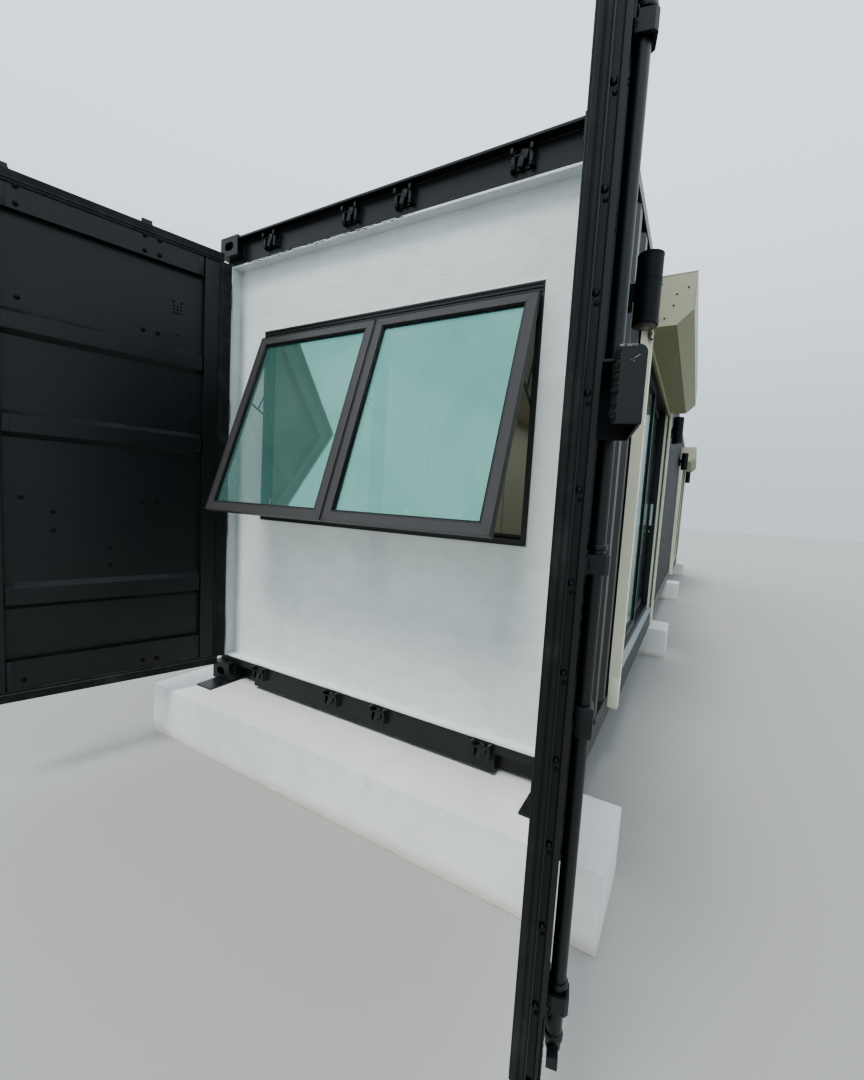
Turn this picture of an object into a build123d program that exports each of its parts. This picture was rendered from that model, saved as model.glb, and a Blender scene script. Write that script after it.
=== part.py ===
from build123d import *
from math import cos, radians
import os

os.makedirs("parts", exist_ok=True)

# A forty-foot high-cube shipping container turned into a cabin, on four concrete beams.
# X runs to the right, Y runs back from the cargo-door end, Z runs up from the ground.
# All sizes are in millimetres.

# The foundation
beam_height = 320.0
beam_depth = 463.0
beam_half_width = 1425.0
beam_overhang = 290.0
beam_count = 4
plate_thickness = 10.0
end_plate_gap = 8.0
end_plate_inset = 29.0
end_plate_overhang = 140.0
side_plate_inset = 4.0
side_plate_width = 56.0
side_plate_length = 150.0

# The container's frame
container_length = 12192.0
container_width = 2438.0
container_height = 2896.0
casting_width = 162.0
casting_length = 178.0
casting_height = 118.0
casting_slot_depth = 28.0
casting_plan_slot = (124.0, 63.5)
casting_side_slot = (79.5, 51.0)
frame_inset = 2.0
door_opening_width = 2340.0
sill_top = 155.0
header_drop = 38.0
door_face_setback = 50.0
post_setback = 60.0
back_post_width = 100.0
rail_bottom = 12.0
bottom_rail_top = 170.0
bottom_rail_flange = 48.0
bottom_rail_wall = 6.0
top_rail_size = 60.0
end_beam_depth = 60.0
end_beam_top_gap = 12.0
gutter_front = 6.0
gutter_thickness = 12.0
sill_notch_inner = 857.0
sill_notch_outer = 1057.0
sill_notch_height = 95.0
sill_notch_depth = 60.0

# Sheet steel walls and roof
sheet_thickness = 2.0
wall_pitch = 278.0
wall_crest = 72.0
wall_trough = 70.0
wall_corrugation = 36.0
wall_sheet_inset = 6.0
roof_pitch = 209.0
roof_crest = 91.0
roof_trough = 90.0
roof_corrugation = 20.0

# Floor and inside lining
floor_thickness = 28.0
cross_member_height = 105.0
cross_member_width = 45.0
cross_member_spacing = 400.0
lining_thickness = 12.0
lining_gap = 40.0
ceiling_drop = 196.0

# The plastered wall in the cargo-door end, and its window
plaster_front = 50.0
plaster_face = 110.0
plaster_thickness = 68.0
reveal_thickness = 12.0
window_width = 1829.0
window_height = 1207.0
window_sill = 1115.0
window_frame_setback = 2.0
window_frame_depth = 65.0
window_jamb = 32.0
window_head = 62.0
window_mullion = 50.0
sash_height = 1148.0
sash_side_gap = 18.0
sash_middle_gap = 8.0
sash_bar = 52.0
sash_thickness = 38.0
sash_glass_thickness = 8.0
sash_angle = 19.1
sash_seat_clearance = 0.3

# The cargo doors and their hinges
hinge_inset = 19.0
hinge_setback = 20.0
hinge_count = 4
hinge_end_gap = 172.0
hinge_pin_radius = 11.0
hinge_knuckle_radius = 18.0
hinge_blade_height = 110.0
hinge_blade_thickness = 12.0
hinge_blade_length = 112.0
hinge_blade_bend = 14.0
lug_thickness = 20.0
pin_clearance = 0.3
lug_clearance = 2.0
leaf_hinge_gap = 35.0
leaf_thickness = 50.0
leaf_centre_gap = 5.0
leaf_sill_gap = 5.0
leaf_header_gap = 2.0
leaf_stile = 109.0
leaf_top_rail = 140.0
leaf_bottom_rail = 180.0
leaf_groove_width = 36.0
leaf_groove_depth = 20.0
leaf_edge_flange = 12.0
leaf_edge_groove_width = 18.0
leaf_edge_groove_depth = 12.0
leaf_panel_setback = 12.0
leaf_rib_height = 32.0
leaf_rib_slope = 26.0
leaf_ribs = ((613.0, 753.0), (1503.0, 1640.0), (2008.0, 2140.0))
gasket_depth = 26.0
gasket_proud = 6.0
gasket_strip = 25.0
gasket_hinge_lip = 44.0
gasket_hinge_lip_end_gap = 16.0
gasket_free_lip = 36.0
gasket_top_lip = 34.0
gasket_bottom_lip = 35.0
left_door_open = 107.0
right_door_open = 102.7
rod_radius = 17.0
rod_offsets = (430.0, 1050.0)
rod_below_sill = 43.0
rod_above_header = 72.0
rod_face_gap = 7.0
cam_length = 52.0
cam_height = 26.0
cam_thickness = 24.0
rod_guide_end_gap = 72.0
rod_guide_middles = (1040.0, 2035.0)
rod_guide_height = 40.0
rod_guide_top_height = 116.0
rod_guide_half_width = 52.0
rod_guide_wall = 8.0
handle_heights = (1076.0, 871.0)
handle_lengths = (470.0, 437.0)
handle_thickness = 9.0
handle_bar_height = 38.0
lock_box_start = 1074.0
lock_box_past_edge = 70.0
lock_box_bottom = 1444.0
lock_box_height = 119.0
lock_box_depth = 61.0
lock_box_wall = 5.0
lock_box_corner = 13.0
lock_box_end_slot = 18.0
keeper_width = 114.0
keeper_height = 74.0
keeper_depth = 30.0
keeper_jaw = 24.0
keeper_plate = 8.0
keeper_shift = 22.0

# The two shuttered doorways in the right-hand side
doorway_clear = 2438.0
doorway_start = 1095.0
slider_height = 2134.0
slider_sill = 268.0
slider_depth = 92.0
slider_bar = 48.0
slider_lap_behind_guide = 30.0
slider_track_wall = 4.0
leaf_frame_width = 60.0
leaf_frame_depth = 32.0
leaf_side_gap = 5.0
leaf_lap = 50.0
leaf_glass = 8.0
roller_clearance = 0.3
roller_length = 70.0
roller_width = 14.0
pull_length = 230.0
pull_width = 22.0
pull_depth = 26.0
pull_height = 1290.0
ledge_bottom = 80.0
ledge_reach = 41.0
guide_width = 65.0
guide_reach = 56.0
guide_wall = 5.0
guide_slot = 16.0
guide_slot_place = 33.6
shutter_box_bottom = 2374.0
shutter_box_top = 2652.0
shutter_box_reach = 259.0
shutter_box_chamfer = 80.0
shutter_box_end_gap = 20.0

# The wall lights beside the doorways
light_radius = 55.0
light_height = 303.0
light_bottom = 2150.0
light_gap = 36.0
light_plate = 70.0
light_neck = 30.0
light_side_offset = 750.0

# Values worked out from the sizes above
wall_shape = (wall_pitch, wall_crest, wall_trough, wall_corrugation)
roof_shape = (roof_pitch, roof_crest, roof_trough, roof_corrugation)
half_width = container_width / 2
base = beam_height + plate_thickness
opening_half = door_opening_width / 2
frame_outer = half_width - frame_inset
sheet_outer = half_width - wall_sheet_inset
sheet_inner = sheet_outer - wall_corrugation
frame_back = container_length - frame_inset
end_zone = container_length - casting_length
plaster_back = plaster_face + plaster_thickness
header_bottom = container_height - casting_height - header_drop
hinge_x = half_width - hinge_inset
leaf_width = hinge_x - leaf_centre_gap
leaf_outer = door_face_setback + frame_inset - hinge_setback
leaf_inner = leaf_outer + leaf_thickness
leaf_bottom = sill_top + leaf_sill_gap
leaf_top = header_bottom - leaf_header_gap
hinge_pitch = (leaf_top - leaf_bottom - 2 * hinge_end_gap) / (hinge_count - 1)
hinge_heights = [leaf_bottom + hinge_end_gap + index * hinge_pitch for index in range(hinge_count)]
rod_axis = leaf_outer - rod_face_gap - rod_radius
rod_bottom = sill_top - rod_below_sill
rod_top = header_bottom + rod_above_header
floor_bottom = sill_top - floor_thickness
ceiling_bottom = container_height - ceiling_drop
lining_outer = sheet_inner - sheet_thickness - lining_gap
slider_outer_face = sheet_outer
slider_inner_face = slider_outer_face - slider_depth
slider_half_opening = doorway_clear / 2 + slider_lap_behind_guide
slider_top = slider_sill + slider_height
near_doorway_centre = doorway_start + doorway_clear / 2
far_doorway_centre = container_length - near_doorway_centre
doorway_centres = (near_doorway_centre, far_doorway_centre)


def block(x, y, z):
    """A square-edged solid between two limits on each axis."""
    size = (x[1] - x[0], y[1] - y[0], z[1] - z[0])
    centre = ((x[0] + x[1]) / 2, (y[0] + y[1]) / 2, (z[0] + z[1]) / 2)
    return Pos(*centre) * Box(*size)


def upright(points, bottom, top):
    """A plan outline drawn up between two heights."""
    outline = make_face(Polyline(*points, close=True))
    return Pos(0, 0, bottom) * extrude(outline, amount=top - bottom)


def along_x(points, start, end):
    """An outline of (Y, Z) points drawn along X."""
    outline = Plane.YZ * make_face(Polyline(*points, close=True))
    return Pos(start, 0, 0) * extrude(outline, amount=end - start)


def along_y(points, start, end):
    """An outline of (X, Z) points drawn along Y."""
    outline = Plane.XZ * make_face(Polyline(*points, close=True))
    return Pos(0, end, 0) * extrude(outline, amount=end - start)


def mirrored(shape):
    """The like piece on the container's other side."""
    return mirror(shape, about=Plane.YZ)


def save(name, *solids):
    """Put one piece, or several like pieces that do not touch, on the foundation and write it."""
    group = Compound(children=[Pos(0, 0, base) * solid for solid in solids])
    export_step(group, "parts/" + name + ".step")


def sheet_outline(start, end, crest_centre, pitch, crest, trough, depth):
    """Outer and inner lines of a trapezoid sheet, as (along, depth) points."""
    slope = (pitch - crest - trough) / 2

    def depth_at(place):
        offset = abs((place - crest_centre + pitch / 2) % pitch - pitch / 2)
        return depth * min(1.0, max(0.0, (offset - crest / 2) / slope))

    corners = [start, end]
    first = int((start - crest_centre) // pitch) - 1
    last = int((end - crest_centre) // pitch) + 1
    for index in range(first, last + 1):
        centre = crest_centre + index * pitch
        for offset in (-crest / 2 - slope, -crest / 2, crest / 2, crest / 2 + slope):
            if start + 1 < centre + offset < end - 1:
                corners.append(centre + offset)
    corners.sort()
    outer = [(place, depth_at(place)) for place in corners]
    inner = [(place, depth_at(place) + sheet_thickness) for place in reversed(corners)]
    return outer + inner


def side_sheet(start, end, bottom, top, crest_centre):
    """A length of the right-hand corrugated side, standing between two heights."""
    outline = sheet_outline(start, end, crest_centre, *wall_shape)
    return upright([(sheet_outer - depth, place) for place, depth in outline], bottom, top)


# Concrete beams, evenly spaced under the length
beam_pitch = (container_length + 2 * beam_overhang - beam_depth) / (beam_count - 1)
beam_centres = [-beam_overhang + beam_depth / 2 + index * beam_pitch for index in range(beam_count)]
beam_x = (-beam_half_width, beam_half_width)
beam_z = (-base, -plate_thickness)
beams = [block(beam_x, (centre - beam_depth / 2, centre + beam_depth / 2), beam_z) for centre in beam_centres]
save("foundation_beams", *beams)

# Steel plates between the beams and the container
end_plate_x = (half_width - casting_width - end_plate_gap, half_width - end_plate_inset)
end_plate_spans = (
    (-end_plate_overhang, casting_length),
    (end_zone, container_length + end_plate_overhang),
)
bearing_plates = [block(end_plate_x, span, (-plate_thickness, 0)) for span in end_plate_spans]
side_plate_x = (frame_outer - side_plate_inset - side_plate_width, frame_outer - side_plate_inset)
for centre in beam_centres[1:-1]:
    span = (centre - side_plate_length / 2, centre + side_plate_length / 2)
    bearing_plates.append(block(side_plate_x, span, (-plate_thickness, rail_bottom)))
bearing_plates += [mirrored(plate) for plate in bearing_plates]
save("bearing_plates", *bearing_plates)


# Corner castings with an oblong hole in each side that can be seen
def casting(y_low, bottom):
    y_mid = y_low + casting_length / 2
    x_mid = half_width - casting_width / 2
    z_mid = bottom + casting_height / 2
    y_high = y_low + casting_length
    body = block((half_width - casting_width, half_width), (y_low, y_high), (bottom, bottom + casting_height))
    if bottom > casting_height:
        plan_slot = SlotOverall(*casting_plan_slot, rotation=90)
        top = bottom + casting_height
        body -= Pos(x_mid, y_mid, top) * extrude(plan_slot, amount=casting_slot_depth, both=True)
    side_slot = Plane.YZ * SlotOverall(*casting_side_slot)
    body -= Pos(half_width, y_mid, z_mid) * extrude(side_slot, amount=casting_slot_depth, both=True)
    end_slot = Plane.XZ * SlotOverall(*casting_side_slot)
    end_y = y_low if y_low < container_length / 2 else y_high
    body -= Pos(x_mid, end_y, z_mid) * extrude(end_slot, amount=casting_slot_depth, both=True)
    return body


castings = []
for y_low in (0.0, container_length - casting_length):
    for bottom in (0.0, container_height - casting_height):
        castings.append(casting(y_low, bottom))
castings += [mirrored(piece) for piece in castings]
save("corner_castings", *castings)

# Corner posts between the castings
post_bottom = casting_height
post_top = container_height - casting_height
door_post = block((opening_half, frame_outer), (post_setback, casting_length), (post_bottom, post_top))
back_inner_x = frame_outer - back_post_width
back_post = block((back_inner_x, frame_outer), (end_zone, frame_back), (post_bottom, post_top))
save("corner_posts", door_post, mirrored(door_post), back_post, mirrored(back_post))

# Door header: a box beam with a gutter plate over it
casting_inner = half_width - casting_width
header_top = container_height - end_beam_top_gap
header_back = casting_length
header = block((-opening_half, opening_half), (door_face_setback, header_back), (header_bottom, post_top))
header += block((-casting_inner, casting_inner), (door_face_setback, header_back), (post_top, header_top))
header += block(
    (-casting_inner, casting_inner),
    (gutter_front, header_back),
    (header_top - gutter_thickness, header_top),
)
save("door_header", header)

# Door sill with a notch for lashing near each corner
sill_back = casting_length
sill = block((-opening_half, opening_half), (door_face_setback, sill_back), (post_bottom, sill_top))
sill += block((-casting_inner, casting_inner), (door_face_setback, sill_back), (rail_bottom, post_bottom))
notch = block(
    (sill_notch_inner, sill_notch_outer),
    (door_face_setback, door_face_setback + sill_notch_depth),
    (rail_bottom, rail_bottom + sill_notch_height),
)
sill -= notch
sill -= mirrored(notch)
save("door_sill", sill)

# Keepers that the cams of the lock rods turn into: a plate with two jaws, set a little towards the hinges
keeper_places = [hinge_x - offset + keeper_shift for offset in rod_offsets]


def keeper(x_mid, bottom):
    half = keeper_width / 2
    front = door_face_setback - keeper_depth
    plate_face = door_face_setback - keeper_plate
    outline = [
        (x_mid - half, door_face_setback),
        (x_mid - half, plate_face),
        (x_mid - half + keeper_plate, front),
        (x_mid - half + keeper_jaw, front),
        (x_mid - half + keeper_jaw, plate_face),
        (x_mid + half - keeper_jaw, plate_face),
        (x_mid + half - keeper_jaw, front),
        (x_mid + half - keeper_plate, front),
        (x_mid + half, plate_face),
        (x_mid + half, door_face_setback),
    ]
    return upright(outline, bottom, bottom + keeper_height)


top_keeper_z = rod_top - keeper_height / 2
bottom_keeper_z = rod_bottom - keeper_height / 2
keepers = [keeper(x_mid, bottom) for x_mid in keeper_places for bottom in (bottom_keeper_z, top_keeper_z)]
keepers += [mirrored(piece) for piece in keepers]
save("cam_keepers", *keepers)

# Header and sill of the closed end
back_beam_y = (frame_back - end_beam_depth, frame_back)
back_header = block((-casting_inner, casting_inner), back_beam_y, (post_top, header_top))
back_header += block(
    (-casting_inner, casting_inner),
    (end_zone, frame_back),
    (header_top - gutter_thickness, header_top),
)
save("back_header", back_header)
save("back_sill", block((-casting_inner, casting_inner), (end_zone, frame_back), (rail_bottom, post_bottom)))

# Side rails between the corner castings
rail_y = (casting_length, end_zone)
top_rail_z = (container_height - top_rail_size, container_height)
top_rail = block((frame_outer - top_rail_size, frame_outer), rail_y, top_rail_z)
save("top_side_rails", top_rail, mirrored(top_rail))
rail_web = frame_outer - bottom_rail_wall
rail_inner = frame_outer - bottom_rail_flange
bottom_rail = along_y(
    [
        (frame_outer, rail_bottom),
        (frame_outer, bottom_rail_top),
        (rail_inner, bottom_rail_top),
        (rail_inner, bottom_rail_top - bottom_rail_wall),
        (rail_web, bottom_rail_top - bottom_rail_wall),
        (rail_web, rail_bottom + bottom_rail_wall),
        (rail_inner, rail_bottom + bottom_rail_wall),
        (rail_inner, rail_bottom),
    ],
    *rail_y,
)
save("bottom_side_rails", bottom_rail, mirrored(bottom_rail))

# Cross members and the timber floor on them
member_start = sill_back + cross_member_spacing / 2
member_count = int((rail_y[1] - member_start) // cross_member_spacing)
cross_members = []
for index in range(member_count):
    y_low = member_start + index * cross_member_spacing
    cross_members.append(
        block(
            (-rail_web, rail_web),
            (y_low, y_low + cross_member_width),
            (floor_bottom - cross_member_height, floor_bottom),
        )
    )
save("floor_cross_members", *cross_members)
save("floor_deck", block((-rail_inner, rail_inner), rail_y, (floor_bottom, sill_top)))

# Corrugated side walls
wall_bottom = bottom_rail_top
wall_top = container_height - top_rail_size
light_offset = doorway_clear / 2 + light_side_offset
light_places = [centre + side * light_offset for centre in doorway_centres for side in (-1, 1)]
save("left_wall", mirrored(side_sheet(*rail_y, wall_bottom, wall_top, light_places[0])))

doorway_edges = [(centre - slider_half_opening, centre + slider_half_opening) for centre in doorway_centres]
near_low, near_high = doorway_edges[0]
far_low, far_high = doorway_edges[1]
save("right_wall_near", side_sheet(rail_y[0], near_low, wall_bottom, wall_top, light_places[0]))
save("right_wall_middle", side_sheet(near_high, far_low, wall_bottom, wall_top, light_places[1]))
save("right_wall_far", side_sheet(far_high, rail_y[1], wall_bottom, wall_top, light_places[3]))
lintels = [side_sheet(low, high, slider_top, wall_top, (low + high) / 2) for low, high in doorway_edges]
save("right_wall_lintels", *lintels)

# Corrugated closed end
back_sheet_y = container_length - wall_sheet_inset
back_outline = sheet_outline(-back_inner_x, back_inner_x, 0, *wall_shape)
back_wall = upright([(place, back_sheet_y - depth) for place, depth in back_outline], post_bottom, post_top)
save("back_wall", back_wall)

# Corrugated roof between the side rails
roof_edge = frame_outer - top_rail_size
roof_top = container_height - frame_inset
roof_outline = sheet_outline(*rail_y, container_length / 2, *roof_shape)
roof = along_x([(place, roof_top - depth) for place, depth in roof_outline], -roof_edge, roof_edge)
save("roof", roof)

# Lining boards on the inside of the walls and under the roof
lining_inner = lining_outer - lining_thickness
lining_y = (plaster_back, end_zone)
lining_z = (sill_top, ceiling_bottom)
left_lining = block((-lining_outer, -lining_inner), lining_y, lining_z)
back_lining = block((-lining_inner, lining_inner), (lining_y[1] - lining_thickness, lining_y[1]), lining_z)
right_spans = [(lining_y[0], near_low), (near_high, far_low), (far_high, lining_y[1])]
right_lining_x = (lining_inner, lining_outer)
right_linings = [block(right_lining_x, span, lining_z) for span in right_spans]
head_linings = [block(right_lining_x, span, (slider_top, ceiling_bottom)) for span in doorway_edges]
save("left_lining", left_lining)
save("back_lining", back_lining)
save("right_lining", *right_linings)
save("doorway_head_lining", *head_linings)
ceiling = block((-lining_outer, lining_outer), lining_y, (ceiling_bottom, ceiling_bottom + lining_thickness))
save("ceiling_lining", ceiling)

# Plastered wall that fills the cargo-door opening, with a square reveal round it
infill = block((-opening_half, opening_half), (plaster_face, plaster_back), (sill_top, header_bottom))
reveal = block((-opening_half, opening_half), (plaster_front, plaster_face), (sill_top, header_bottom))
reveal -= block(
    (-opening_half + reveal_thickness, opening_half - reveal_thickness),
    (plaster_front, plaster_face),
    (sill_top + reveal_thickness, header_bottom - reveal_thickness),
)
window_x = (-window_width / 2, window_width / 2)
window_z = (window_sill, window_sill + window_height)
infill = infill + reveal - block(window_x, (plaster_front, plaster_back), window_z)
save("infill_wall", infill)

# Fixed window frame with a middle post
window_y = (plaster_face + window_frame_setback, plaster_face + window_frame_setback + window_frame_depth)
window_frame = block(window_x, window_y, window_z)
light_z = (window_z[0] + window_jamb, window_z[1] - window_head)
window_light = block((window_mullion / 2, window_x[1] - window_jamb), window_y, light_z)
window_frame -= window_light
window_frame -= mirrored(window_light)
save("window_frame", window_frame)

# Two top-hung sashes, standing open
sash_top = light_z[1]
sash_hinge_y = window_y[0] - sash_seat_clearance - sash_thickness / 2 * cos(radians(sash_angle))
sash_x = (sash_middle_gap / 2, window_x[1] - sash_side_gap)
sash_glass_x = (sash_x[0] + sash_bar, sash_x[1] - sash_bar)
sash_glass_z = (-sash_height + sash_bar, -sash_bar)
closed_sash = block(sash_x, (-sash_thickness / 2, sash_thickness / 2), (-sash_height, 0))
closed_sash -= block(sash_glass_x, (-sash_thickness, sash_thickness), sash_glass_z)
closed_pane = block(sash_glass_x, (-sash_glass_thickness / 2, sash_glass_thickness / 2), sash_glass_z)
swing = Pos(0, sash_hinge_y, sash_top) * Rot(-sash_angle, 0, 0)
save("window_sashes", swing * closed_sash, mirrored(swing * closed_sash))
save("window_glass", swing * closed_pane, mirrored(swing * closed_pane))


# The cargo doors are drawn shut, with the hinge pin at the origin and the outer side to minus Y
def swing_left(shape):
    """The left-hand door's piece, swung open and put on its pin."""
    return Pos(-hinge_x, hinge_setback, 0) * Rot(0, 0, -left_door_open) * shape


def swing_right(shape):
    """The right-hand door's piece, swung open and put on its pin."""
    return Pos(hinge_x, hinge_setback, 0) * Rot(0, 0, right_door_open) * mirrored(shape)


leaf_s = (leaf_hinge_gap, leaf_width)
leaf_y = (leaf_outer, leaf_inner)
leaf_z = (leaf_bottom, leaf_top)
panel_s = (leaf_s[0] + leaf_stile, leaf_s[1] - leaf_stile)
panel_z = (leaf_bottom + leaf_bottom_rail, leaf_top - leaf_top_rail)
rib_s = (panel_s[0] + leaf_groove_width, panel_s[1] - leaf_groove_width)
leaf_frame = block(leaf_s, leaf_y, leaf_z) - block(panel_s, leaf_y, panel_z)
for groove_s in ((panel_s[0], rib_s[0]), (rib_s[1], panel_s[1])):
    leaf_frame -= block(groove_s, (leaf_inner - leaf_groove_depth, leaf_inner), leaf_z)
edge_groove_y = leaf_outer + leaf_edge_flange
leaf_frame -= block(
    (leaf_s[1] - leaf_edge_groove_depth, leaf_s[1]),
    (edge_groove_y, edge_groove_y + leaf_edge_groove_width),
    leaf_z,
)

# Door panel: one sheet pressed into three ribs that stand in towards the cabin and are closed at their ends
panel_base = leaf_outer + leaf_panel_setback
leaf_panel = block(panel_s, (panel_base, panel_base + sheet_thickness), panel_z)
for rib_low, rib_high in leaf_ribs:
    rib_peak = panel_base + leaf_rib_height
    rib_line = [
        (panel_base, rib_low),
        (rib_peak, rib_low + leaf_rib_slope),
        (rib_peak, rib_high - leaf_rib_slope),
        (panel_base, rib_high),
    ]
    rib_skin = [(place + sheet_thickness, height) for place, height in rib_line]
    leaf_panel += along_x(rib_skin, *rib_s)
    leaf_panel -= along_x(rib_line, rib_s[0] + sheet_thickness, rib_s[1] - sheet_thickness)

# Rubber seal: a strip round the inner face, with a lip past each edge of the leaf
gasket_y = (leaf_inner - gasket_depth + gasket_proud, leaf_inner + gasket_proud)
gasket_z = (leaf_z[0] - gasket_bottom_lip, leaf_z[1] + gasket_top_lip)
leaf_gasket = block((leaf_s[0], leaf_s[1] + gasket_free_lip), gasket_y, gasket_z)
leaf_gasket += block(
    (leaf_s[0] - gasket_hinge_lip, leaf_s[0]),
    gasket_y,
    (leaf_z[0] + gasket_hinge_lip_end_gap, leaf_z[1] - gasket_hinge_lip_end_gap),
)
leaf_gasket -= block(leaf_s, leaf_y, leaf_z)
leaf_gasket -= block(
    (leaf_s[0] + gasket_strip, leaf_s[1] - gasket_strip),
    gasket_y,
    (leaf_z[0] + gasket_strip, leaf_z[1] - gasket_strip),
)


# Hinge blades with a knuckle round the pin
def hinge_blade(height):
    low = height - hinge_blade_height / 2
    outline = [
        (0.0, hinge_knuckle_radius / 4),
        (0.0, hinge_knuckle_radius),
        (leaf_hinge_gap - hinge_blade_bend, leaf_outer),
        (leaf_hinge_gap + hinge_blade_length, leaf_outer),
        (leaf_hinge_gap + hinge_blade_length, leaf_outer - hinge_blade_thickness),
        (leaf_hinge_gap - hinge_blade_thickness / 2, leaf_outer - hinge_blade_thickness),
        (hinge_blade_bend, hinge_knuckle_radius / 4),
    ]
    blade = upright(outline, low, low + hinge_blade_height)
    knuckle = Pos(0, 0, height) * Cylinder(hinge_knuckle_radius, hinge_blade_height)
    bore = Pos(0, 0, height) * Cylinder(hinge_pin_radius + pin_clearance, hinge_blade_height)
    return blade + knuckle - bore


leaf_blades = [hinge_blade(height) for height in hinge_heights]


# Lock rods with a cam at each end, held in guides on the leaf
def lock_rod(offset, handle_height, handle_reach):
    rod = Pos(offset, rod_axis, (rod_bottom + rod_top) / 2) * Cylinder(rod_radius, rod_top - rod_bottom)
    for end in (rod_bottom, rod_top):
        rod += block(
            (offset - cam_thickness / 2, offset + cam_length - cam_thickness / 2),
            (rod_axis - cam_thickness / 2, rod_axis + cam_thickness / 2),
            (end - cam_height / 2, end + cam_height / 2),
        )
    rod += block(
        sorted((offset, offset + handle_reach)),
        (rod_axis - handle_thickness / 2, rod_axis + handle_thickness / 2),
        (handle_height - handle_bar_height / 2, handle_height + handle_bar_height / 2),
    )
    return rod


def rod_guide(offset, middle, height):
    """A bracket folded round the rod, with a foot bolted to the leaf on each side of it."""
    bore = rod_radius + pin_clearance
    cap = bore + rod_guide_wall
    foot = leaf_outer - rod_guide_wall
    outline = [
        (offset - rod_guide_half_width, leaf_outer),
        (offset - rod_guide_half_width, foot),
        (offset - cap, foot),
        (offset - cap, rod_axis - bore),
        (offset - bore, rod_axis - cap),
        (offset + bore, rod_axis - cap),
        (offset + cap, rod_axis - bore),
        (offset + cap, foot),
        (offset + rod_guide_half_width, foot),
        (offset + rod_guide_half_width, leaf_outer),
    ]
    guide_z = (middle - height / 2, middle + height / 2)
    rod_space = block((offset - bore, offset + bore), (rod_axis - bore, rod_axis + bore), guide_z)
    return upright(outline, *guide_z) - rod_space


lock_rods = [
    lock_rod(rod_offsets[0], handle_heights[0], handle_lengths[0]),
    lock_rod(rod_offsets[1], handle_heights[1], -handle_lengths[1]),
]
guide_rises = (rod_guide_end_gap, *rod_guide_middles)
guide_places = [(leaf_bottom + rise, rod_guide_height) for rise in guide_rises]
guide_places.append((leaf_top - rod_guide_end_gap, rod_guide_top_height))
rod_guides = [rod_guide(offset, *place) for offset in rod_offsets for place in guide_places]
leaf_pieces = {
    "door_frame": [leaf_frame],
    "door_panel": [leaf_panel],
    "door_gasket": [leaf_gasket],
    "door_hinges": leaf_blades,
    "lock_rods": lock_rods,
    "rod_guides": rod_guides,
}
for piece_name, solids in leaf_pieces.items():
    save("left_" + piece_name, *[swing_left(solid) for solid in solids])
    save("right_" + piece_name, *[swing_right(solid) for solid in solids])

# Padlock box on the right-hand leaf, open underneath and at the back. It stands out past the leaf's edge to
# cover the other leaf's staple, and a slot in its end plate clears that leaf.
lock_box_end = leaf_s[1] + lock_box_past_edge
lock_box_y = (leaf_outer - lock_box_depth, leaf_outer)
lock_box_z = (lock_box_bottom, lock_box_bottom + lock_box_height)
lock_box = block((lock_box_start, lock_box_end), lock_box_y, lock_box_z)
lock_box = fillet(lock_box.edges().filter_by(Axis.X).group_by(Axis.Z)[-1].sort_by(Axis.Y)[0], lock_box_corner)
lock_box -= block(
    (lock_box_start + lock_box_wall, lock_box_end - lock_box_wall),
    (lock_box_y[0] + lock_box_wall, lock_box_y[1]),
    (lock_box_z[0], lock_box_z[1] - lock_box_wall),
)
lock_box -= block(
    (leaf_s[1], lock_box_end),
    (leaf_outer - lock_box_end_slot, leaf_outer),
    lock_box_z,
)
save("lock_box", swing_right(lock_box))


# Lugs and pins on the corner posts
def hinge_lug(height):
    half = hinge_blade_height / 2 + lug_clearance
    lug_reach = frame_outer - hinge_x
    lug_corner = lug_reach / 2
    pair = Pos(hinge_x, hinge_setback, height) * Cylinder(hinge_pin_radius, 2 * half)
    outline = [
        (hinge_x - lug_reach, post_setback),
        (hinge_x - lug_reach, hinge_setback - lug_corner),
        (hinge_x - lug_corner, hinge_setback - lug_reach),
        (hinge_x + lug_corner, hinge_setback - lug_reach),
        (frame_outer, hinge_setback - lug_corner),
        (frame_outer, post_setback),
    ]
    for low in (height - half - lug_thickness, height + half):
        pair += upright(outline, low, low + lug_thickness)
    return pair


lugs = [hinge_lug(height) for height in hinge_heights]
save("door_hinge_lugs", *lugs, *[mirrored(lug) for lug in lugs])

# Sliding glass doors: a fixed leaf in the outer track, and one that slides past it in the inner track
slider_mid_x = (slider_outer_face + slider_inner_face) / 2
outer_track_x = (slider_mid_x + slider_track_wall, slider_outer_face - slider_track_wall)
inner_track_x = (slider_inner_face + slider_track_wall, slider_mid_x - slider_track_wall)
clear_half = slider_half_opening - slider_bar
clear_z = (slider_sill + slider_bar, slider_top - slider_bar)
leaf_length = clear_half + leaf_lap


def slider_frame(centre):
    frame_x = (slider_inner_face, slider_outer_face)
    frame_y = (centre - slider_half_opening, centre + slider_half_opening)
    clear_y = (centre - clear_half, centre + clear_half)
    return block(frame_x, frame_y, (slider_sill, slider_top)) - block(frame_x, clear_y, clear_z)


def glazed_leaf(track_x, y_range, z_range):
    middle = (track_x[0] + track_x[1]) / 2
    leaf_x = (middle - leaf_frame_depth / 2, middle + leaf_frame_depth / 2)
    pane_y = (y_range[0] + leaf_frame_width, y_range[1] - leaf_frame_width)
    pane_z = (z_range[0] + leaf_frame_width, z_range[1] - leaf_frame_width)
    frame = block(leaf_x, y_range, z_range) - block(leaf_x, pane_y, pane_z)
    pane = block((middle - leaf_glass / 2, middle + leaf_glass / 2), pane_y, pane_z)
    return frame, pane


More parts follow.
